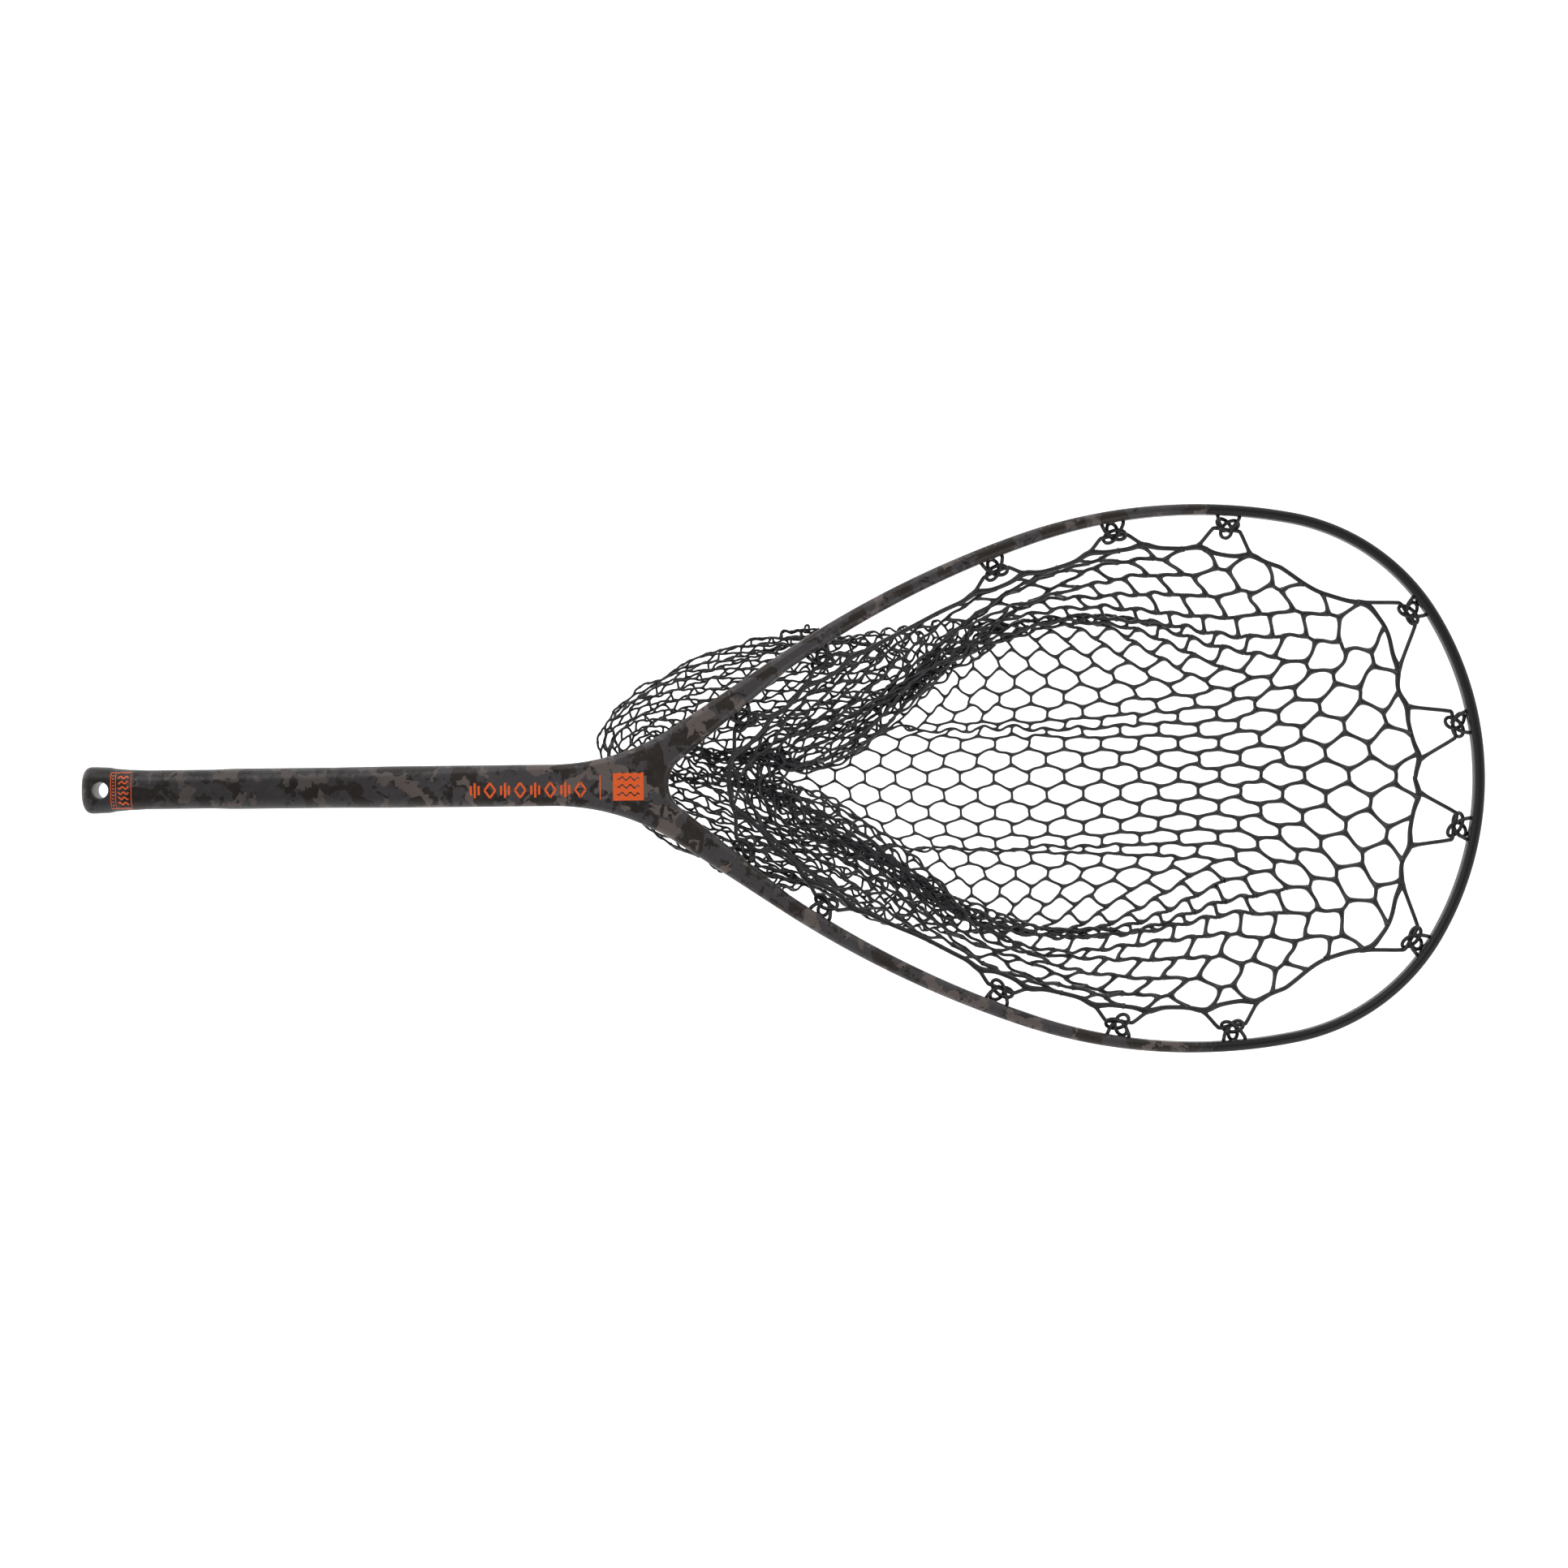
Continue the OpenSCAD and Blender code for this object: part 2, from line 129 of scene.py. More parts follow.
def hoop_point(angle, inset=0.0):
    """A point of the hoop's middle line, by the angle of the outward normal, drawn in by inset."""
    centre = np.array([HALF_LENGTH - BOW_WIDTH / 2 - HOOP_ARCS[0][0], 0.0])
    start = 0.0
    for k, (radius, sweep) in enumerate(HOOP_ARCS):
        if k:
            centre = centre + (HOOP_ARCS[k - 1][0] - radius) * unit(start)
        if abs(angle) <= start + sweep or k == len(HOOP_ARCS) - 1:
            break
        start += sweep
    point = centre + (radius - inset) * unit(abs(angle))
    return np.array([point[0], math.copysign(1, angle) * point[1]])


def rim_inset(angle):
    return 41 - 18 * smooth((abs(angle) - 60) / 40)


# ---------------- camera and lights
scene = bpy.context.scene
scene.view_settings.view_transform = "Standard"
scene.view_settings.look = "None"

camera = bpy.data.objects.new("camera", bpy.data.cameras.new("camera"))
scene.collection.objects.link(camera)
camera.data.lens = 65
camera.data.sensor_width = 36
camera.location = (0.0005, -0.0008, 1.929)
camera.rotation_euler = (0, 0, math.radians(-0.63))
camera.data.clip_end = 50
scene.camera = camera

world = bpy.data.worlds.new("studio")
scene.world = world
world.use_nodes = True


def studio_sky(tree):
    """A dark ceiling over a bright horizon, so flat tops stay dark and edges catch light."""
    place = tree.nodes.new("ShaderNodeTexCoord")
    split = tree.nodes.new("ShaderNodeSeparateXYZ")
    ramp = tree.nodes.new("ShaderNodeMapRange")
    ramp.interpolation_type = "SMOOTHSTEP"
    fill_inputs(ramp, {"From Min": 0.25, "From Max": 0.95, "To Min": 1.15, "To Max": 0.12})
    tree.links.new(place.outputs["Generated"], split.inputs[0])
    tree.links.new(split.outputs[2], ramp.inputs["Value"])
    tree.links.new(ramp.outputs["Result"], tree.nodes["Background"].inputs["Strength"])
    tree.nodes["Background"].inputs["Color"].default_value = (1, 1, 1, 1)


studio_sky(world.node_tree)


def add_light(name, place, target, size, power):
    data = bpy.data.lights.new(name, "AREA")
    data.shape = "RECTANGLE"
    data.size, data.size_y = size
    data.energy = power
    light = bpy.data.objects.new(name, data)
    scene.collection.objects.link(light)
    light.location = place
    direction = Vector(target) - Vector(place)
    light.rotation_euler = direction.to_track_quat("-Z", "Y").to_euler()


add_light("softbox_left", (-0.9, 1.3, 1.5), (0, 0, 0), (1.6, 0.8), 12)
add_light("softbox_right", (1.2, -1.1, 1.7), (0, 0, 0), (1.4, 0.8), 9)


# ---------------- material helpers
def linear(r, g, b):
    """A colour given as sRGB 0 to 255, as a linear colour."""
    def channel(v):
        v = v / 255
        return v / 12.92 if v <= 0.04045 else ((v + 0.055) / 1.055) ** 2.4
    return (channel(r), channel(g), channel(b), 1.0)


class Shader:
    """A material's node tree, with short ways to add and join nodes."""

    def __init__(self, name, roughness, coat=0.0, coat_roughness=0.1, specular=0.5):
        self.material = bpy.data.materials.new(name)
        self.material.use_nodes = True
        self.tree = self.material.node_tree
        self.bsdf = self.tree.nodes["Principled BSDF"]
        fill_inputs(self.bsdf, {"Roughness": roughness, "Coat Weight": coat,
                                "Coat Roughness": coat_roughness, "Specular IOR Level": specular})

    def node(self, kind, **values):
        made = self.tree.nodes.new(kind)
        for key, value in values.items():
            setattr(made, key, value)
        return made

    def join(self, source, target):
        self.tree.links.new(source, target)

    def put(self, value, socket):
        """Joins a node's output to a socket, or sets the socket to a constant."""
        if isinstance(value, bpy.types.NodeSocket):
            self.join(value, socket)
        else:
            socket.default_value = value

    def coordinates(self, scale=(1, 1, 1)):
        place = self.node("ShaderNodeTexCoord")
        mapping = self.node("ShaderNodeMapping")
        mapping.inputs["Scale"].default_value = scale
        self.join(place.outputs["Object"], mapping.inputs["Vector"])
        return mapping.outputs["Vector"]

    def noise(self, vector, scale, detail=2.0, roughness=0.5, distortion=0.0, output="Fac"):
        made = self.node("ShaderNodeTexNoise")
        fill_inputs(made, {"Scale": scale, "Detail": detail, "Roughness": roughness,
                           "Distortion": distortion})
        self.join(vector, made.inputs["Vector"])
        return made.outputs[output]

    def math(self, operation, a, b=None, clamp=False):
        made = self.node("ShaderNodeMath", operation=operation, use_clamp=clamp)
        for socket, value in zip(made.inputs, (a, b)):
            if value is not None:
                self.put(value, socket)
        return made.outputs[0]

    def step(self, value, low, high):
        made = self.node("ShaderNodeMapRange", interpolation_type="SMOOTHSTEP")
        fill_inputs(made, {"From Min": low, "From Max": high})
        self.join(value, made.inputs["Value"])
        return made.outputs["Result"]

    def mix(self, factor, a, b):
        made = self.node("ShaderNodeMix", data_type="RGBA")
        for number, value in ((0, factor), (6, a), (7, b)):
            self.put(value, made.inputs[number])
        return made.outputs[2]

    def bump(self, height, strength, distance, normal=None):
        made = self.node("ShaderNodeBump")
        fill_inputs(made, {"Strength": strength, "Distance": distance})
        self.join(height, made.inputs["Height"])
        if normal is not None:
            self.join(normal, made.inputs["Normal"])
        self.join(made.outputs["Normal"], self.bsdf.inputs["Normal"])
        return made.outputs["Normal"]

    def colour(self, source):
        self.put(source, self.bsdf.inputs["Base Color"])


def separate_axes(shader, vector):
    """The x, y and z outputs of a vector."""
    split = shader.node("ShaderNodeSeparateXYZ")
    shader.join(vector, split.inputs[0])
    return split.outputs


PLAIN_HOOP = linear(34, 32, 33)


def camouflage():
    """Torn patches of four greys under a satin lacquer, fading to a plain hoop towards the front."""
    s = Shader("camouflage", 0.45, coat=0.08, coat_roughness=0.32, specular=0.28)
    place = s.coordinates((1.0, 1.0, 0.8))
    bend = s.noise(place, 140, 3.0, output="Color")
    shift = s.node("ShaderNodeVectorMath", operation="MULTIPLY_ADD")
    s.join(bend, shift.inputs[0])
    shift.inputs[1].default_value = (0.012, 0.012, 0.012)
    s.join(place, shift.inputs[2])
    torn = shift.outputs[0]
    broad = s.noise(torn, 48, 3.0, 0.55)
    second = s.noise(torn, 62, 2.5, 0.5, 0.4)
    third = s.noise(torn, 95, 3.0, 0.55, 0.6)
    streak = s.noise(torn, 210, 3.0, 0.6, 1.2)
    base = s.mix(s.step(broad, 0.47, 0.485), linear(34, 29, 26), linear(55, 53, 55))
    base = s.mix(s.step(second, 0.565, 0.58), base, linear(82, 74, 71))
    base = s.mix(s.step(third, 0.60, 0.612), base, linear(27, 23, 21))
    grain = s.mix(s.step(streak, 0.35, 0.75), linear(32, 28, 26), linear(72, 67, 66))
    base = s.mix(0.16, base, grain)
    x = separate_axes(s, s.coordinates())[0]
    lighter = s.node("ShaderNodeVectorMath", operation="SCALE")
    s.join(base, lighter.inputs[0])
    gain = s.math("ADD", s.math("MULTIPLY", s.step(x, -0.31, -0.19), 0.62), 1.0)
    s.join(gain, lighter.inputs["Scale"])
    base = lighter.outputs[0]
    ragged = s.math("ADD", x, s.math("MULTIPLY", s.math("SUBTRACT", broad, 0.5), 0.12))
    base = s.mix(s.step(ragged, 0.262, 0.298), base, PLAIN_HOOP)
    s.colour(base)
    fine = s.noise(s.coordinates(), 2600, 2.0, 0.6)
    s.join(s.math("ADD", s.math("MULTIPLY", fine, 0.12), 0.36), s.bsdf.inputs["Roughness"])
    s.bump(fine, 0.10, 0.00005)
    return s.material


def carbon_sleeve():
    """Fine braided sleeve under clear resin: two crossing diagonal ribs a little over 1 mm apart."""
    s = Shader("carbon_sleeve", 0.42, coat=0.04, coat_roughness=0.25, specular=0.24)
    uv = s.node("ShaderNodeUVMap", uv_map="braid")
    u, v, _ = separate_axes(s, uv.outputs[0])
    pitch = 2 * math.pi / 0.0024
    first = s.math("SINE", s.math("MULTIPLY", s.math("ADD", u, v), pitch))
    second = s.math("SINE", s.math("MULTIPLY", s.math("SUBTRACT", u, v), pitch))
    weave = s.math("MULTIPLY", first, second)
    shade = s.step(weave, -0.8, 0.8)
    cloud = s.noise(s.coordinates(), 90, 2.0)
    base = s.mix(shade, linear(17, 15, 16), linear(48, 45, 46))
    base = s.mix(s.math("MULTIPLY", s.step(cloud, 0.3, 0.8), 0.5), base, linear(34, 32, 33))
    s.colour(base)
    s.bump(weave, 0.35, 0.00012)
    return s.material


def rubber(name, dark, light, roughness):
    s = Shader(name, roughness, specular=0.5)
    place = s.coordinates()
    cloud = s.noise(place, 160, 3.0, 0.6)
    fine = s.noise(place, 1500, 2.0, 0.6)
    s.colour(s.mix(s.step(cloud, 0.3, 0.72), dark, light))
    s.bump(fine, 0.25, 0.00008)
    return s.material


def printed_orange():
    s = Shader("printed_orange", 0.5)
    speck = s.noise(s.coordinates(), 900, 3.0, 0.6)
    s.colour(s.mix(s.step(speck, 0.3, 0.7), linear(226, 88, 30), linear(238, 100, 38)))
    return s.material


def light_table():
    """A white sheet lit evenly from below."""
    s = Shader("light_table", 0.9, specular=0.1)
    cloud = s.noise(s.coordinates(), 3, 2.0)
    s.colour(s.mix(cloud, (0.80, 0.80, 0.80, 1), (0.83, 0.83, 0.83, 1)))
    fill_inputs(s.bsdf, {"Emission Color": (1, 1, 1, 1), "Emission Strength": 0.82})
    return s.material


CAMO = camouflage()
BRAID = carbon_sleeve()
NET_RUBBER = rubber("net_rubber", linear(30, 30, 32), linear(46, 47, 51), 0.38)
TIE_RUBBER = rubber("tie_rubber", linear(20, 20, 22), linear(32, 32, 35), 0.42)
ORANGE = printed_orange()


def foam_core():
    """Closed-cell foam: small rounded cells with a soft pitted surface."""
    s = Shader("foam_core", 0.9, specular=0.2)
    cells = s.node("ShaderNodeTexVoronoi")
    cells.inputs["Scale"].default_value = 700
    s.join(s.coordinates(), cells.inputs["Vector"])
    wall = s.step(cells.outputs["Distance"], 0.1, 0.6)
    s.colour(s.mix(wall, linear(214, 206, 182), linear(190, 181, 156)))
    s.bump(cells.outputs["Distance"], 0.4, 0.0003)
    return s.material


def wound_insert():
    """Fibre-wound inserts: fine windings across the length of the part."""
    s = Shader("wound_insert", 0.5, specular=0.35)
    wave_texture = s.node("ShaderNodeTexWave", bands_direction="X")
    fill_inputs(wave_texture, {"Scale": 320, "Distortion": 1.5})
    s.join(s.coordinates(), wave_texture.inputs["Vector"])
    s.colour(s.mix(wave_texture.outputs["Fac"], linear(28, 28, 30), linear(54, 53, 54)))
    s.bump(wave_texture.outputs["Fac"], 0.3, 0.0001)
    return s.material


def repaint(material, *nodes):
    """Gives CAD nodes that stay in the visual model a detailed material."""
    for node in nodes:
        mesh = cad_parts[node].data
        mesh.materials.clear()
        mesh.materials.append(material)


repaint(foam_core(), "grip_core")
repaint(wound_insert(), "yoke_tenon", "left_arm_spigot", "right_arm_spigot",
        "left_bow_ferrule", "right_bow_ferrule")


# ---------------- mesh helpers
def make_mesh(name, points, faces, material, smooth_shade=True):
    """A mesh object from points in millimetres; faces are one array or lists of corners."""
    mesh = bpy.data.meshes.new(name)
    points = np.asarray(points, float) * MM
    if isinstance(faces, np.ndarray):
        count, sides = faces.shape
        mesh.vertices.add(len(points))
        mesh.vertices.foreach_set("co", points.astype(np.float32).ravel())
        mesh.loops.add(count * sides)
        mesh.loops.foreach_set("vertex_index", faces.astype(np.int32).ravel())
        mesh.polygons.add(count)
        mesh.polygons.foreach_set("loop_start", np.arange(0, count * sides, sides, dtype=np.int32))
    else:
        mesh.from_pydata([tuple(p) for p in points], [], [list(f) for f in faces])
    mesh.update(calc_edges=True)
    mesh.validate()
    mesh.materials.append(material)
    if smooth_shade:
        mesh.polygons.foreach_set("use_smooth", np.ones(len(mesh.polygons), dtype=bool))
    made = bpy.data.objects.new(name, mesh)
    scene.collection.objects.link(made)
    return made


def smooth_path(points, per_span):
    """A Catmull-Rom curve through the points."""
    p = np.asarray(points, float)
    p = np.vstack([2 * p[0] - p[1], p, 2 * p[-1] - p[-2]])
    out = []
    for k in range(1, len(p) - 2):
        t = np.linspace(0, 1, per_span, endpoint=False)[:, None]
        a, b, c, d = p[k - 1], p[k], p[k + 1], p[k + 2]
        out.append(0.5 * (2 * b + (c - a) * t + (2 * a - 5 * b + 4 * c - d) * t ** 2
                          + (3 * b - a - 3 * c + d) * t ** 3))
    out.append(p[-2][None])
    return np.vstack(out)


def tube(path, radius, sides, closed=False):
    """Points and quads of a round tube along a path; radius is a number or one per point."""
    path = np.asarray(path, float)
    n = len(path)
    radius = np.broadcast_to(np.asarray(radius, float), (n,))
    if closed:
        tangent = np.roll(path, -1, 0) - np.roll(path, 1, 0)
    else:
        tangent = np.gradient(path, axis=0)
    tangent = normed(tangent)
    side = np.zeros_like(path)
    ref = np.array([0, 0, 1.0]) if abs(tangent[0][2]) < 0.9 else np.array([1.0, 0, 0])
    side[0] = np.cross(tangent[0], ref)
    for k in range(1, n):
        side[k] = side[k - 1] - tangent[k] * (side[k - 1] @ tangent[k])
        side[k] /= np.linalg.norm(side[k])
    side[0] /= np.linalg.norm(side[0])
    up = np.cross(side, tangent)
    q = np.arange(sides) * 2 * math.pi / sides
    ring = (np.cos(q)[None, :, None] * side[:, None] + np.sin(q)[None, :, None] * up[:, None])
    points = (path[:, None] + ring * radius[:, None, None]).reshape(-1, 3)
    rows = n if closed else n - 1
    i, j = np.meshgrid(np.arange(rows), np.arange(sides), indexing="ij")
    ni, nj = (i + 1) % n, (j + 1) % sides
    quads = np.stack([i * sides + j, i * sides + nj, ni * sides + nj, ni * sides + j], -1)
    return points, quads.reshape(-1, 4)


class Build:
    """Collects tubes and other pieces into one mesh."""

    def __init__(self):
        self.points, self.faces, self.count = [], [], 0

    def add(self, points, quads):
        self.points.append(points)
        self.faces.extend((quads + self.count).tolist())
        self.count += len(points)

    def add_tube(self, path, radius, sides, closed=False):
        points, quads = tube(path, radius, sides, closed)
        base = self.count
        self.add(points, quads)
        if not closed:
            self.faces.append([base + k for k in range(sides)][::-1])
            self.faces.append([base + len(points) - sides + k for k in range(sides)])

    def object(self, name, material):
        return make_mesh(name, np.vstack(self.points), self.faces, material)


def fix_normals(piece):
    work = bmesh.new()
    work.from_mesh(piece.data)
    bmesh.ops.recalc_face_normals(work, faces=work.faces)
    work.to_mesh(piece.data)
    work.free()


# ---------------- frame skin
def station(distance, column):
    """A handle measure at a distance from the butt, eased between the stations."""
    k = int(np.clip(np.searchsorted(STATIONS[:, 0], distance) - 1, 0, len(STATIONS) - 2))
    a, b = STATIONS[k], STATIONS[k + 1]
    t = smooth((distance - a[0]) / (b[0] - a[0]))
    return a[column] + (b[column] - a[column]) * t


def arm_measures(angle):
    """Half width, half height and corner radius of an arm at a hoop angle."""
    share = np.clip((angle - BOW_JOINT) / (ARM_END - BOW_JOINT), 0, 1) ** 1.4
    width = BOW_WIDTH / 2 + (ARM_WIDTH - BOW_WIDTH) / 2 * share
    height = BOW_HEIGHT / 2 + (YOKE_THICKNESS - BOW_HEIGHT) / 2 * share
    corner = BOW_WIDTH / 2 - 0.1 + (YOKE_EDGE - BOW_WIDTH / 2 + 0.1) * share
    return width, height, corner


def frame_half_outline():
    """The left half of the frame's outline, from the butt round the arm's end to the crotch.
    Each row is x, y, outward normal x and y, half height, corner radius."""
    rows = []
    first = STATIONS[0]
    power = 2 / BUTT_SQUARENESS
    for q in np.linspace(0, 90, 15)[:-1]:
        c, s = math.cos(math.radians(q)), math.sin(math.radians(q))
        rows.append((-HALF_LENGTH + first[0] * (1 - c ** power), first[1] * s ** power,
                     None, None, first[2] - 0.8 * c, first[3] - 0.8 * c))
    for x in np.arange(first[0], STATIONS[-1][0], 2.0):
        rows.append((x - HALF_LENGTH, station(x, 1), None, None, station(x, 2), station(x, 3)))
    end = STATIONS[-1]

    def yoke_row(p):
        rows.append((*p, None, None, end[2], end[3]))

    for x in np.arange(end[0], FLARE_CENTRE[0] + HALF_LENGTH, 2.0):
        rows.append((x - HALF_LENGTH, end[1], None, None, end[2], end[3]))
    tip = hoop_point(ARM_END)
    outer = tip + ARM_WIDTH / 2 * unit(ARM_END)
    flare_end = touch_angle(outer - np.array(FLARE_CENTRE), FLARE_RADIUS, -1)
    for q in np.linspace(-90, flare_end, 45):
        yoke_row(np.array(FLARE_CENTRE) + FLARE_RADIUS * unit(q))
    start = np.array(rows[-1][:2])
    for t in np.linspace(0, 1, 42)[1:-1]:
        yoke_row(start + (outer - start) * t)
    angles = np.linspace(ARM_END, BOW_JOINT, 120)
    for side in (1, -1):
        for a in angles if side > 0 else angles[::-1]:
            w, h, e = arm_measures(a)
            p = hoop_point(a) + side * w * unit(a)
            rows.append((*p, *(side * unit(a)), h, e))
    crotch = np.array([CROTCH_X, 0.0])
    inner = tip - ARM_WIDTH / 2 * unit(ARM_END)
    tangent = touch_angle(inner - crotch, CROTCH_RADIUS, 1)
    touch = crotch + CROTCH_RADIUS * unit(tangent)
    for t in np.linspace(0, 1, 46)[1:-1]:
        yoke_row(inner + (touch - inner) * t)
    for q in np.linspace(tangent, 180, 24):
        yoke_row(crotch + CROTCH_RADIUS * unit(q))
    return rows


def frame_outline():
    half = frame_half_outline()
    ring = [tuple(r) for r in half]
    for r in reversed(half[1:-1]):
        ring.append((r[0], -r[1], r[2], None if r[3] is None else -r[3], r[4], r[5]))
    # the crotch's apex and the butt's middle are shared by both halves
    places = np.array([r[:2] for r in ring], float)
    along = normed(np.roll(places, -1, 0) - np.roll(places, 1, 0))
    normals = np.stack([-along[:, 1], along[:, 0]], 1)
    for k, r in enumerate(ring):
        if r[2] is not None:
            normals[k] = (r[2], r[3])
    return places, normals, np.array([r[4] for r in ring]), np.array([r[5] for r in ring])


PROFILE_STEPS = 9


def profile(h, e):
    """Inset and height of each level of the frame's rounded edge, from the underside up."""
    levels = []
    for side in (-1, 1):
        for k in range(PROFILE_STEPS + 1):
            turned = 90 * k / PROFILE_STEPS
            q = math.radians(turned if side > 0 else 90 - turned)
            levels.append((e * (1 - math.cos(q)), side * ((h - e) + e * math.sin(q))))
    return levels


def frame_skin():
    """One skin over the handle, the yoke and both arms, with the lanyard hole through it."""
    places, normals, heights, edges = frame_outline()
    n = len(places)
    levels = np.array([profile(h, e) for h, e in zip(heights, edges)])
    rings = [np.c_[places - normals * levels[:, k, :1], FRAME_Z + levels[:, k, 1]]
             for k in range(levels.shape[1])]
    points = np.vstack(rings)
    faces = ring_faces(0, len(rings), n)
    hole_rings, hole_count = [], 48
    top = STATIONS[0][2]
    for r, z in ((1.0, top), (0.45, top - 0.12), (0.12, top - 0.45), (0, top - 1.0)):
        hole_rings.append((HOLE_RADIUS + r, z))
    hole_rings += [(r, -z) for r, z in reversed(hole_rings)]
    circle = np.array([unit(360 * j / hole_count) for j in range(hole_count)])
    base = len(points)
    for r, z in hole_rings:
        ring = np.c_[HOLE_X + r * circle[:, 0], r * circle[:, 1], np.full(hole_count, FRAME_Z + z)]
        points = np.vstack([points, ring])
    faces += ring_faces(base, len(hole_rings), hole_count)
    for level, hole_level in ((len(rings) - 1, 0), (0, len(hole_rings) - 1)):
        ring_ids = [level * n + j for j in range(n)]
        hole_ids = [base + hole_level * hole_count + j for j in range(hole_count)]
        ids = ring_ids + hole_ids
        flat = [Vector(points[i][:2]) for i in ids]
        loops = [(j, (j + 1) % n) for j in range(n)]
        loops += [(n + j, n + (j + 1) % hole_count) for j in range(hole_count)]
        found = delaunay_2d_cdt(flat, loops, [], 0, 1e-6)
        outline = np.array([points[i][:2] for i in ring_ids])
        for face in found[2]:
            source = [found[3][v][0] if found[3][v] else None for v in face]
            if None in source:
                continue
            centre = np.mean([points[ids[s]][:2] for s in source], axis=0)
            if np.hypot(centre[0] - HOLE_X, centre[1]) < HOLE_RADIUS + 0.5:
                continue
            if inside(outline, centre):
                faces.append([ids[s] for s in source])
    skin = make_mesh("frame_skin", points, [list(f) for f in faces], CAMO)
    fix_normals(skin)
    return skin


def inside(outline, point):
    """Whether a point is inside a closed outline, by crossings."""
    x, y = outline[:, 0], outline[:, 1]
    x2, y2 = np.roll(x, -1), np.roll(y, -1)
    crosses = (y > point[1]) != (y2 > point[1])
    with np.errstate(divide="ignore", invalid="ignore"):
        where = x + (point[1] - y) * (x2 - x) / (y2 - y)
    return int(np.sum(crosses & (point[0] < where))) % 2 == 1


skin = frame_skin()
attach(skin, "frame")
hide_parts("grip_shell", "yoke", "left_arm", "right_arm")


# ---------------- printed marks
MARK_LIFT = 0.06


def skin_tree():
    mesh = skin.data
    return BVHTree.FromPolygons([v.co for v in mesh.vertices], [p.vertices for p in mesh.polygons])


surface = skin_tree()


def on_skin(x, y):
    hit = surface.ray_cast(Vector((x, y, 100)) * MM, Vector((0, 0, -1)))[0]
    return np.array([x, y, hit.z / MM + MARK_LIFT])


class Marks:
    """Thin printed shapes laid on the frame's top, from bands of small quads."""

    def __init__(self):
        self.points, self.faces = [], []

    def strip(self, left, right):
        """A band between two lists of flat points."""
        base = len(self.points)
        for a, b in zip(left, right):
            self.points += [on_skin(*a), on_skin(*b)]
        for k in range(len(left) - 1):
            i = base + 2 * k
            self.faces.append([i, i + 1, i + 3, i + 2])

    def bar(self, x0, y0, x1, y1, pieces=6):
        """A rectangle, cut into pieces along y."""
        ys = np.linspace(y0, y1, pieces + 1)
        self.strip([(x0, y) for y in ys], [(x1, y) for y in ys])

    def line(self, points, width):
        points = np.asarray(points, float)
        along = normed(np.gradient(points, axis=0))
        out = np.stack([-along[:, 1], along[:, 0]], 1) * width / 2
        self.strip(points - out, points + out)


# The badge's middle, length and width, and the wave lines left open in it
BADGE = (-103.5, -1.2, 20.5, 19.0)
WAVE_ROWS = [-5.2, 0.0, 5.2]
WAVE_BORDER = 3.0
WAVE_HEIGHT = 1.1
WAVE_HALF_GAP = 0.55
marks = Marks()
bx, by, bw, bh = BADGE
xs = np.linspace(-bw / 2, bw / 2, 41)


def wave(x, row):
    reach = np.clip((bw / 2 - WAVE_BORDER - np.abs(x)) / 1.5, 0, 1)
    return row + WAVE_HEIGHT * np.sin(x * 1.15) * reach


edges_of_rows = [np.full(len(xs), -bh / 2)]
inner = np.abs(xs) < bw / 2 - WAVE_BORDER
for row in WAVE_ROWS:
    middle = wave(xs, row)
    half_gap = np.where(inner, WAVE_HALF_GAP, 0.0)
    edges_of_rows += [middle - half_gap, middle + half_gap]
edges_of_rows.append(bh / 2 - 0.9 * np.abs(np.sin(xs * 0.62 + 0.4)))
for k in range(0, len(edges_of_rows), 2):
    low_edge = np.c_[bx + xs, by + edges_of_rows[k]]
    high_edge = np.c_[bx + xs, by + edges_of_rows[k + 1]]
    marks.strip(low_edge, high_edge)
DIVIDER_X = -122.3
marks.line([(DIVIDER_X, y) for y in np.linspace(-9.8, 6.6, 8)], 0.8)
# A row of diamonds and groups of three ticks
ROW_START, ROW_END, ROW_LOW, ROW_HIGH = -211.0, -130.5, -8.0, 2.0
ROW_MARKS = 8
DIAMOND_REACH = 3.6
middle = (ROW_LOW + ROW_HIGH) / 2
rise = (ROW_HIGH - ROW_LOW) / 2
for k in range(ROW_MARKS):
    x = ROW_START + (ROW_END - ROW_START) * (k + 0.5) / ROW_MARKS
    if k % 2:
        corners = [(x - DIAMOND_REACH, middle), (x, middle + rise),
                   (x + DIAMOND_REACH, middle), (x, middle - rise)]
        for a, b in zip(corners, corners[1:] + corners[:1]):
            marks.line([np.array(a) * (1 - t) + np.array(b) * t for t in np.linspace(0, 1, 6)], 1.4)
    else:
        for share in (-2.6, 0, 2.6):
            tall = rise if share == 0 else rise * 0.62
            marks.bar(x + share - 0.75, middle - tall, x + share + 0.75, middle + tall)
# A boxed label by the butt, with a row of bars and six wavy lines
LABEL = (-448.5, -435.0, -12.2, 11.6)
x0, x1, y0, y1 = LABEL
for x in (x0, x0 + 3.2, x1):
    marks.line([(x, y) for y in np.linspace(y0, y1, 16)], 0.5)
for y in (y0, y1):
    marks.line([(x, y) for x in np.linspace(x0, x1, 6)], 0.5)
for k in range(10):
    y = y0 + 2.0 + (y1 - y0 - 4.0) * k / 9
    marks.bar(x0 + 1.0, y - 0.4, x0 + 2.1, y + 0.4, 2)
for k in range(6):
    y = y0 + 3.2 + (y1 - y0 - 6.4) * k / 5
    places = np.linspace(x0 + 4.8, x1 - 1.8, 12)
    marks.line([(x, y + 0.8 * math.sin(x * 1.6 + k)) for x in places], 0.9)
printed = make_mesh("printed_marks", marks.points, marks.faces, ORANGE)
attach(printed, "frame")

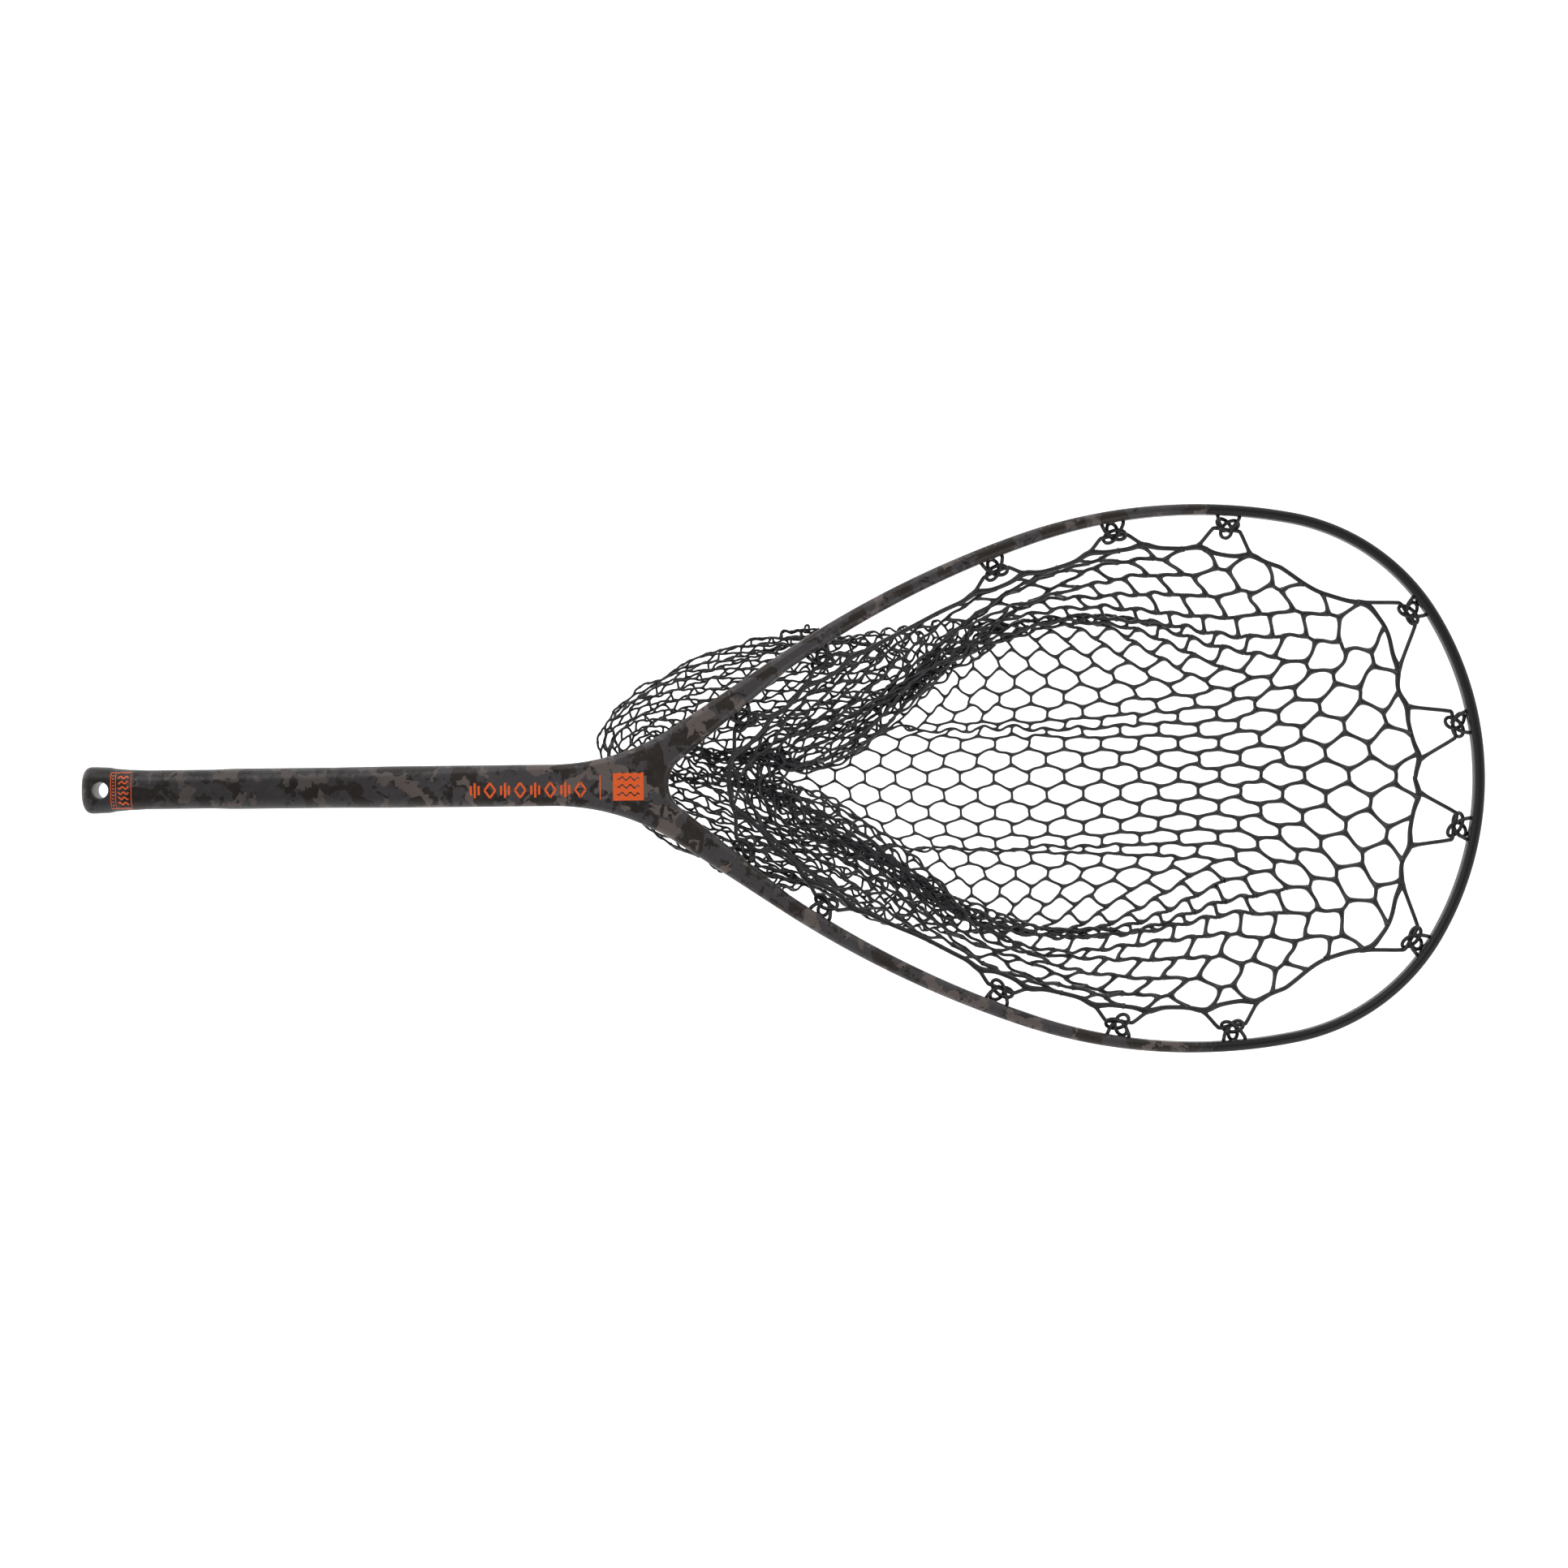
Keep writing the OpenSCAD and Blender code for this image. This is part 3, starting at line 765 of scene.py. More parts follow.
# ---------------- front bow
def bow():
    """The bow's oval tube, with braid coordinates in metres along and round it."""
    steps = 24
    section = []
    straight = (BOW_HEIGHT - BOW_WIDTH) / 2
    for k in range(steps):
        q = 2 * math.pi * (k + 0.5) / steps
        z = math.sin(q) * BOW_WIDTH / 2
        section.append((math.cos(q) * BOW_WIDTH / 2, z + math.copysign(straight, z)))
    section = np.array(section)
    reach = np.linspace(-BOW_JOINT, BOW_JOINT, 420)
    spine = np.array([hoop_point(a) for a in reach])
    out = np.array([unit(a) for a in reach])
    points = np.zeros((len(reach), steps, 3))
    points[:, :, :2] = spine[:, None] + section[None, :, :1] * out[:, None]
    points[:, :, 2] = FRAME_Z + section[None, :, 1]
    faces = ring_faces(0, len(reach), steps)
    last = (len(reach) - 1) * steps
    faces.append(list(range(steps)))
    faces.append([last + j for j in range(steps)][::-1])
    piece = make_mesh("bow_skin", points.reshape(-1, 3), [list(f) for f in faces], BRAID)
    fix_normals(piece)
    length = run_along(spine) * MM
    girth = run_along(section) * MM
    whole = girth[-1] + np.linalg.norm(section[0] - section[-1]) * MM
    layer = piece.data.uv_layers.new(name="braid")
    for polygon in piece.data.polygons:
        ids = [piece.data.loops[k].vertex_index for k in polygon.loop_indices]
        round_ids = [i % steps for i in ids]
        wraps = max(round_ids) - min(round_ids) > steps / 2 and len(ids) == 4
        for k, i in zip(polygon.loop_indices, ids):
            v = whole if wraps and i % steps == 0 else girth[i % steps]
            layer.data[k].uv = (length[i // steps], v)
    return piece


bow_skin = bow()
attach(bow_skin, "frame")
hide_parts("front_bow")

# ---------------- net: rim, tabs and ties
BACK_ARC = (-14.0, 24.0)
TAB_SPREAD = 18.0
TAB_BAR_SPREAD = 9.0
TAB_BAR_IN = 9.0
YOKE_TIE = 42.0
YOKE_TIE_SWELL = 3.6
YOKE_FEET = (1.0, 0.42)
TIE_RADIUS = 1.3
KNOT_SIZE = 2.75
KNOT_RISE = 1.6


def rim_straight():
    """Start and end of the straight run of the rim inside the left arm, and its end's angle."""
    start = hoop_point(ARM_END, rim_inset(ARM_END))
    centre = np.array([BACK_ARC[0], 0.0])
    angle = touch_angle(start - centre, BACK_ARC[1], 1)
    return start, centre + BACK_ARC[1] * unit(angle), angle


def rim_half():
    start, end, angle = rim_straight()
    rows = [hoop_point(a, rim_inset(a)) for a in np.linspace(0, ARM_END, 220)]
    rows += [start + (end - start) * k / 14 for k in range(1, 14)]
    centre = np.array([BACK_ARC[0], 0.0])
    rows += [centre + BACK_ARC[1] * unit(q) for q in np.linspace(angle, 180, 14)]
    return np.array(rows)


RIM_HALF = rim_half()
RIM = np.vstack([RIM_HALF, (RIM_HALF * [1, -1])[::-1][1:]])
RIM_RUN = run_along(RIM)
RIM_LENGTH = RIM_RUN[-1]


def rim_at(run):
    """Points of the rim at distances from its front, going round by the left side."""
    run = np.mod(run, RIM_LENGTH)
    return np.stack([np.interp(run, RIM_RUN, RIM[:, 0]), np.interp(run, RIM_RUN, RIM[:, 1])], -1)


def local_radius(angle):
    start = 0.0
    for radius, sweep in HOOP_ARCS:
        start += sweep
        if angle <= start:
            return radius
    return HOOP_ARCS[-1][0]


def lacing(pair):
    """Middle of the hoop, outward angle and half width there, and the tab's two feet."""
    if pair < len(TIE_ANGLES):
        a = TIE_ANGLES[pair]
        reach = TAB_SPREAD / (local_radius(a) - rim_inset(a)) * 180 / math.pi
        feet = [hoop_point(a + s * reach, rim_inset(a + s * reach)) for s in (1, -1)]
        return hoop_point(a), a, arm_measures(a)[0], feet
    start, end, _ = rim_straight()
    middle = hoop_point(ARM_END) + YOKE_TIE * unit(ARM_END + 90)
    feet = [start + (end - start) * share for share in YOKE_FEET]
    return middle, ARM_END, ARM_WIDTH / 2 + YOKE_TIE_SWELL, feet


chance = random.Random(7)
rim_build = Build()
waves = np.linspace(0, RIM_LENGTH, 900, endpoint=False)
rim_xy = rim_at(waves)
feet_runs = []
for pair in range(len(TIE_ANGLES) + 1):
    for foot in lacing(pair)[3]:
        nearest = waves[np.argmin(np.linalg.norm(rim_xy - foot, axis=1))]
        feet_runs += [nearest, RIM_LENGTH - nearest]


def rim_gap(run):
    """Distance of each rim point from one of them, the shorter way round."""
    return np.abs((waves - run + RIM_LENGTH / 2) % RIM_LENGTH - RIM_LENGTH / 2)


pull = np.zeros(len(waves))
for run in feet_runs:
    pull = np.maximum(pull, np.exp(-(rim_gap(run) / 7.5) ** 2))
along = normed(np.roll(rim_xy, -1, 0) - np.roll(rim_xy, 1, 0))
outward = np.stack([along[:, 1], -along[:, 0]], 1)
wander = (0.9 * np.sin(waves / 11.0) * np.sin(waves / 47.0 + 1.0)
          + 0.7 * np.sin(waves / 23.0 + 2.0))
for side in (1, -1):
    knot_run = RIM_RUN[np.argmin(np.linalg.norm(RIM - hoop_point(side * 38, 30), axis=1))]
    wander = wander + 15 * np.exp(-(rim_gap(knot_run) / 26) ** 2)
rim_path = np.c_[rim_xy + outward * (2.6 * pull - 0.6 + 0.8 * wander)[:, None],
                 RIM_Z + 0.5 * np.sin(waves / 31.0)]
rim_build.add_tube(rim_path, RIM_RADIUS + 0.45 + 0.55 * pull, 10, closed=True)


def rim_index(place):
    return int(np.argmin(np.linalg.norm(rim_path[:, :2] - place, axis=1)))


def rim_point(foot):
    """The wavy rim's nearest point to a tab's foot, and the rim's direction there."""
    k = rim_index(foot)
    ahead = rim_path[(k + 3) % len(rim_path)] - rim_path[k - 3]
    return rim_path[k], ahead / np.linalg.norm(ahead)


def tab_frame(pair, side):
    middle, angle, half, feet = lacing(pair)
    flip = np.array([1, side])
    normal = unit(angle) * flip
    tangent = unit(angle + 90) * flip
    return middle * flip, normal, tangent, half, [f * flip for f in feet]


def add_tab(build, pair, side):
    """A tab: two legs from webbed feet on the rim to a slightly kinked bar near the hoop."""
    middle, normal, tangent, half, feet = tab_frame(pair, side)
    tilt = chance.uniform(-1.6, 1.6)
    corner = []
    for s in (1, -1):
        xy = middle - normal * (half + TAB_BAR_IN + 0.5 * s * tilt) + tangent * s * TAB_BAR_SPREAD
        corner.append(np.array([*xy, RIM_Z + 2]))
    kink = (corner[0] + corner[1]) / 2 + np.array([*(normal * chance.uniform(-0.8, 0.8)), 0.2])
    starts = [rim_point(f) for f in feet]
    path = [starts[0][0], corner[0], kink, corner[1], starts[1][0]]

    def part(a, b, share):
        return path[a] + (path[b] - path[a]) * share

    legs = [path[0], part(0, 1, 0.5), part(0, 1, 0.88), part(1, 2, 0.12), path[2],
            part(3, 2, 0.12), part(4, 3, 0.88), part(4, 3, 0.5), path[4]]
    curve = smooth_path(legs, 6)
    share = np.linspace(0, 1, len(curve))
    near = np.minimum(share, 1 - share)
    build.add_tube(curve, 1.35 + 0.9 * np.exp(-(near / 0.035) ** 2), 8)
    for (foot, run), top in ((starts[0], path[1]), (starts[1], path[3])):
        rise = (top - foot) / np.linalg.norm(top - foot)
        for s in (1, -1):
            curve = smooth_path([foot + run * s * 5.0, foot + run * s * 2.0 + rise * 1.0,
                                 foot + rise * 5.5], 5)
            build.add_tube(curve, np.linspace(0.7, 1.0, len(curve)), 6)


for pair in range(len(TIE_ANGLES) + 1):
    for side in (1, -1):
        add_tab(rim_build, pair, side)
header = rim_build.object("net_rim", NET_RUBBER)
fix_normals(header)
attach(header, "frame")
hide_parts("net_header")


def add_tie(name, pair, side):
    """A tie: a knot of three loops over the tab's bar, with both ends drawn into the hoop."""
    middle, normal, tangent, half, _ = tab_frame(pair, side)

    def at(inward, along, z):
        return np.array([*(middle - normal * inward + tangent * along), z])

    bar = half + TAB_BAR_IN
    z = RIM_Z + 2
    build = Build()
    turn = chance.uniform(0, 2 * math.pi / 3)
    wide, tall = KNOT_SIZE * chance.uniform(1.0, 1.22), KNOT_SIZE * chance.uniform(0.86, 1.0)
    knot = []
    for k in range(72):
        t = 2 * math.pi * k / 72
        along = wide * (math.sin(t + turn) - 2 * math.sin(2 * t - turn) * 0.92)
        inward = tall * (math.cos(t + turn) + 2 * math.cos(2 * t - turn) * 0.92)
        knot.append(at(bar - 1.6 + inward, along, z + 0.6 + KNOT_RISE * math.sin(3 * t)))
    build.add_tube(knot, TIE_RADIUS, 8, closed=True)
    for s in (1, -1):
        end = [at(half - 0.6, s * 7.4, FRAME_Z), at(half + 1.8, s * 7.0, FRAME_Z + 1.4),
               at(bar - 3.6, s * 5.2, z + 2.0), at(bar - 1.0, s * 3.0, z + 1.2),
               at(bar + 1.2, s * 1.2, z - 1.0)]
        build.add_tube(smooth_path(end, 6), TIE_RADIUS, 8)
    piece = build.object("detail_" + name, TIE_RUBBER)
    fix_normals(piece)
    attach(piece, "frame")
    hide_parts(name)


for k in range(14):
    add_tie("tie_%02d" % (k + 1), k % 7, 1 if k < 7 else -1)

# ---------------- net: bag
PERIODS = 28
COLUMNS = 2 * PERIODS
LEVELS = 50
# Lengths that the columns are drawn towards; the finished ones differ by up to about 70 mm
FRONT_LENGTH = 536.0
SIDE_LENGTH = 435.0
REAR_LENGTH = 350.0
PITCH_TOP = 14.2
PITCH_FOOT = 11.3
# Spacing of the columns across the bag's flat front panel, at places along x
PITCH_PLACES = [-126, 60, 200, 290, 420]
PITCHES = [11.3, 13.1, 12.8, 11.0, 10.6]
RUNG_SHARE = 0.46
# Where the foot's edges lie, folded flat: front and rear edge beside each other, and not joined
SEAM = np.array([(-8, -78), (-34, -64), (-62, -50), (-92, -30), (-112, -4), (-123, 16), (-126, 32),
                 (-118, 45), (-102, 58), (-78, 73), (-45, 89), (-12, 99), (22, 105)], float)
SEAM_MIDDLE = 6
# The folds on the front panel's upper and lower side
UPPER = np.array([(-126, 32), (-118, 45), (-102, 59), (-78, 75), (-45, 90), (-12, 99), (20, 104),
                  (60, 108), (110, 109)], float)
LOWER = np.array([(-126, 28), (-123, 17), (-113, 0), (-102, -25), (-80, -41), (-58, -55),
                  (-20, -77), (13, -92), (60, -101), (110, -104)], float)
# Pleats along the panel, counted in columns from its middle
PLEATS = [-4.7, 3.6]
PLEAT_GAP = 0.8
PLEAT_WIDTH = 0.6
# Columns on each side that can belong to the flat front panel
CORE = 10.2
HALF_PERIODS = PERIODS / 2
QUARTER_PERIODS = PERIODS / 4
PANEL_START = -126
PANEL_END = 420
GRID_REACH = 27.5
UPPER_WING = 92
LOWER_WING = 72
BEHIND_NARROWING = 0.45
CATCH_UP = 12.0
CATCH_UP_REACH = 548
# Rear columns: how far forward they run under the hoop, and how far inwards they bulge
FORWARD_COLUMNS = [15, 18, 20, 22, 27.5]
FORWARD_X = [138, 108, 84, 40, -10]
BULGE_COLUMNS = [15, 21.5, 27.5]
BULGES = [12, 84, 8]
LOWER_BULGE = 0.72
rng = np.random.default_rng(11)

column = np.arange(COLUMNS)
spread = column - (COLUMNS - 1) / 2
period = spread / 2
head_run = (np.floor(column / 2) - HALF_PERIODS + 0.5 + np.where(column % 2 == 0, -1, 1) / 6)
head_run = head_run * RIM_LENGTH / PERIODS
head_xy = rim_at(head_run)
folded = np.sign(period) * (HALF_PERIODS - np.abs(period))
fold_share = np.where(np.abs(period) <= QUARTER_PERIODS, period, folded) / QUARTER_PERIODS
seam_run = run_along(SEAM)
middle_run = seam_run[SEAM_MIDDLE]
foot_run = np.where(fold_share < 0, middle_run * (1 + fold_share),
                    middle_run + (seam_run[-1] - middle_run) * fold_share)
foot_xy = np.stack([np.interp(foot_run, seam_run, SEAM[:, k]) for k in (0, 1)], -1)

level = np.arange(LEVELS)
step_share = np.linspace(18, 9, LEVELS - 1)
step_share /= step_share.sum()
depth = np.r_[0, np.cumsum(step_share)]
length = np.interp(np.abs(period), [0, 4, 9, HALF_PERIODS],
                   [FRONT_LENGTH, FRONT_LENGTH, SIDE_LENGTH, REAR_LENGTH])


def rim_half_width(x):
    return np.interp(x, RIM_HALF[::-1, 0], RIM_HALF[::-1, 1])


def edges_at(x):
    """Where the floor panel folds at x, on its lower and upper side."""
    inner = rim_half_width(x) - 16
    low = np.interp(x, LOWER[:, 0], LOWER[:, 1])
    high = np.interp(x, UPPER[:, 0], UPPER[:, 1])
    if x > 250:
        low, high = max(low, -max(inner, 5)), min(high, max(inner, 5))
    return low, high


def reach_at(x):
    """How many columns on each side have left the rim ahead of x."""
    order = np.argsort(-head_xy[COLUMNS // 2:, 0])
    heads = head_xy[COLUMNS // 2:, 0][order]
    return np.interp(-x, -heads, spread[COLUMNS // 2:][order], left=0.5)


# The sideways place and lift of each column across the bag, at stations along x
stations = np.linspace(PANEL_START, PANEL_END, 110)
grid = np.linspace(-GRID_REACH, GRID_REACH, 551)
table_y = np.zeros((len(stations), len(grid)))
table_z = np.zeros_like(table_y)


def pleat_angle(c, amount):
    """How steeply the panel stands at column c, for a given depth of the pleats."""
    total = np.zeros_like(c)
    for place in PLEATS:
        total += np.exp(-((c - place + PLEAT_GAP) / PLEAT_WIDTH) ** 2)
        total += np.exp(-((c - place - PLEAT_GAP) / PLEAT_WIDTH) ** 2)
        total += 1.25 * np.exp(-((c - place) / (PLEAT_WIDTH * 1.1)) ** 2)
    return amount * total / 1.25


for k, x in enumerate(stations):
    low, high = edges_at(x)
    reach = max(1.0, min(reach_at(x), CORE))
    inside_grid = np.abs(grid) <= reach
    pitch = np.interp(x, PITCH_PLACES, PITCHES)
    wanted = (high - low) / pitch
    lo, hi = 0.0, 2.9
    for _ in range(30):
        amount = (lo + hi) / 2
        width = np.sum(np.cos(pleat_angle(grid[inside_grid], amount))) * (grid[1] - grid[0])
        lo, hi = (amount, hi) if width > wanted else (lo, amount)
    bend = pleat_angle(grid, amount)
    run = np.cumsum(np.cos(bend)) * (grid[1] - grid[0])
    ends = np.interp([-reach, reach], grid, run)
    table_y[k] = low + (high - low) * (run - ends[0]) / (ends[1] - ends[0])
    beyond = np.maximum(np.abs(grid) - reach, 0)
    # Past the fold the wall runs inwards to the wing's edge and then back out to the rim
    turn = max((reach_at(x) - reach) / 2, 0.5)
    inward = np.clip(beyond / turn, 0, 1)
    outward_share = np.clip((beyond - turn) / turn, 0, 1) ** 1.8
    rim_y = rim_half_width(x) - 7
    behind = smooth((20 - x) / 60)
    narrowing = 1 - BEHIND_NARROWING * behind
    upper_wing = UPPER_WING * smooth((210 - x) / 230) * narrowing
    lower_wing = LOWER_WING * smooth((195 - x) / 190) * narrowing
    upper_back = upper_wing + (rim_y - high) * (1 - behind)
    lower_back = lower_wing + (rim_y + low) * (1 - behind)
    rope = 2.2 * np.sqrt(inward)
    upper_side = high + rope - upper_wing * inward + upper_back * outward_share
    lower_side = low - rope + lower_wing * inward - lower_back * outward_share
    table_y[k] = np.where(grid > reach, upper_side, np.where(grid < -reach, lower_side, table_y[k]))
    lift = np.zeros_like(grid)
    for place in PLEATS:
        lift += np.exp(-((grid - place) / 1.1) ** 2)
    table_z[k] = np.where(beyond > 0, 3 + 0.55 * beyond, lift * amount * 2.2)


def lookup(table, x, c):
    """The table's value at x and column c, interpolated both ways."""
    fx = np.clip((x - stations[0]) / (stations[1] - stations[0]), 0, len(stations) - 1.001)
    fc = np.clip((c - grid[0]) / (grid[1] - grid[0]), 0, len(grid) - 1.001)
    ix, ic = fx.astype(int), fc.astype(int)
    tx, tc = fx - ix, fc - ic
    return ((table[ix, ic] * (1 - tc) + table[ix, ic + 1] * tc) * (1 - tx)
            + (table[ix + 1, ic] * (1 - tc) + table[ix + 1, ic + 1] * tc) * tx)


col, lev = np.meshgrid(column, level, indexing="ij")
sway = np.where((col + lev) % 2 == 0, 1, -1) * 0.5 * (1 - RUNG_SHARE)
sway[:, 0] = 0
c_eff = spread[:, None] + sway
along_share = depth[None, :] * np.ones((COLUMNS, 1))
run = along_share * length[:, None]
rearness = smooth((np.abs(period) - 7.8) / 2.4)[:, None]
front_x, tail_x = head_xy[:, 0].max(), SEAM[:, 0].min()
head_lag = head_xy[:, :1] - front_x
foot_lag = foot_xy[:, :1] - tail_x
catch_up = np.minimum(CATCH_UP, CATCH_UP_REACH / np.maximum(np.abs(head_lag), 1))
x_plain = (front_x + (tail_x - front_x) * along_share
           + head_lag * np.clip(1 - along_share, 0, 1) ** catch_up
           + foot_lag * smooth((along_share - 0.42) / 0.58))
forward = np.interp(np.abs(spread), FORWARD_COLUMNS, FORWARD_X)
forward = (forward + rng.uniform(-15, 15, COLUMNS))[:, None]
early = smooth(along_share / 0.28)
late = smooth((along_share - 0.28) / 0.72)
x_rear = head_xy[:, :1] + (forward - head_xy[:, :1]) * early + (foot_xy[:, :1] - forward) * late
x = x_plain * (1 - rearness) + x_rear * rearness
y_fabric = lookup(table_y, x, c_eff)
y_rear = head_xy[:, 1:] + (foot_xy[:, 1:] - head_xy[:, 1:]) * smooth(along_share)
bulge = np.interp(np.abs(spread), BULGE_COLUMNS, BULGES)
bulge = bulge * np.where(period > 0, 1, LOWER_BULGE)
bulge = bulge + rng.uniform(-9, 9, COLUMNS)
y_rear = y_rear - (np.sign(period) * bulge)[:, None] * 4 * along_share * (1 - along_share)
y_rear = y_rear + (8 * sway + 5 * np.sin(along_share * 21 + spread[:, None] * 0.9))
y = y_fabric * (1 - rearness) + y_rear * rearness
drop = smooth(run / 42)
y = head_xy[:, 1:] * (1 - drop) + y * drop
to_foot = smooth((along_share - 0.72) / 0.28)
y = y * (1 - to_foot) + (foot_xy[:, 1:] + 4 * sway) * to_foot
x = x + rng.normal(0, 1.3, x.shape) * np.minimum(1, run / 30)
y = y + rng.normal(0, 1.0, x.shape) * np.minimum(1, run / 30)
layer = 2.0 + 4.5 * smooth((np.abs(period) - 6) / 3)[:, None] + 6 * rearness
z_low = layer + lookup(table_z, x, c_eff) * (1 - rearness) + rng.normal(0, 0.5, x.shape)
z_low = np.clip(z_low, 1.2, 19)
fall = smooth(run / 40)
z = RIM_Z * (1 - fall) + z_low * fall
nodes = np.stack([x, y, z], -1)
nodes[:, 0] = [rim_path[rim_index(head)] for head in head_xy]
nodes = nodes.reshape(-1, 3)


def node_id(i, j):
    return (i % COLUMNS) * LEVELS + j


chains = [(node_id(i, j), node_id(i, j + 1)) for i in range(COLUMNS) for j in range(LEVELS - 1)]
rungs = [(node_id(i, j), node_id(i + 1, j)) for i in range(COLUMNS) for j in range(1, LEVELS)
         if (i + j) % 2 == 0]
edges = np.array(chains + rungs)
pitch_level = PITCH_TOP + (PITCH_FOOT - PITCH_TOP) * depth
chain_rest = (length[:, None] * step_share[None, :]).ravel()
rung_rest = np.array([pitch_level[a % LEVELS] * RUNG_SHARE for a, _ in rungs])
rest = np.r_[chain_rest, rung_rest]
# Second neighbours along a column keep the cells from collapsing
bend_a = np.array([node_id(i, j) for i in range(COLUMNS) for j in range(LEVELS - 2)])
bend_b = bend_a + 2
bend_rest = (chain_rest.reshape(COLUMNS, -1)[:, :-1] + chain_rest.reshape(COLUMNS, -1)[:, 1:]).ravel()


# How strongly a strand resists pressing, stretching and bending, and each round's step
PRESSING = 0.03
STRETCHING = 0.9
BENDING = 0.25
BEND_LEAST = 0.62
RELAX_STEP = 1.3


def relax(points, rounds):
    """Pulls the mesh towards its own edge lengths, above the surface and under the rim."""
    fixed = np.zeros(len(points), bool)
    fixed[::LEVELS] = True
    free = (~fixed).astype(float)
    share = np.bincount(edges.ravel(), minlength=len(points)).astype(float)

    def along_strand(size):
        stretch = size - rest
        return np.where(stretch < 0, stretch * PRESSING, stretch * STRETCHING)

    def across_joint(size):
        return np.minimum(size - bend_rest * BEND_LEAST, 0) * BENDING

    for _ in range(rounds):
        move = np.zeros_like(points)
        for a, b, change in ((edges[:, 0], edges[:, 1], along_strand), (bend_a, bend_b, across_joint)):
            gap = points[b] - points[a]
            size = np.linalg.norm(gap, axis=1) + TINY
            pull = gap * (change(size) / size * 0.5)[:, None]
            np.add.at(move, a, pull)
            np.add.at(move, b, -pull)
        points = points + move / share[:, None] * RELAX_STEP * free[:, None]
        points[:, 2] = np.where(free > 0, np.clip(points[:, 2], 1.0, 23.0), points[:, 2])
    return points


nodes = relax(nodes, 60)

neighbours = -np.ones((len(nodes), 3), int)
fill = np.zeros(len(nodes), int)
for e, (a, b) in enumerate(edges):
    for here, there in ((a, b), (b, a)):
        neighbours[here, fill[here]] = there
        fill[here] += 1


def leaving(here, there):
    """Direction in which each strand leaves a joint: bent away from the joint's other strands,
    and for strands along a column also drawn into line with the column."""
    total = normed(nodes[there] - nodes[here], TINY)
    same = here // LEVELS == there // LEVELS
    opposite = 2 * here - there
    good = same & (here % LEVELS > 0) & (here % LEVELS < LEVELS - 1)
    behind = normed(nodes[np.clip(opposite, 0, len(nodes) - 1)] - nodes[here], TINY)
    total -= FLOW * behind * good[:, None]
    for k in range(3):
        other = neighbours[here, k]
        good = (other >= 0) & (other != there)
        away = normed(nodes[other] - nodes[here], TINY)
        total -= SPLAY * away * good[:, None]
    total = normed(total, TINY)
    c, s = np.cos(twist[here]), np.sin(twist[here])
    return np.stack([c * total[:, 0] - s * total[:, 1], s * total[:, 0] + c * total[:, 1],
                     total[:, 2] * 0.7], -1)


SPANS = 7
STRAND_SIDES = 6
STRAND_TOP = 1.38
STRAND_FOOT = 0.76
REAR_THINNING = 0.4
JOINT_GAIN = 0.85
CURL = 1.42
SPLAY = 0.85
FLOW = 0.12
twist = rng.normal(0, 0.17, len(nodes))


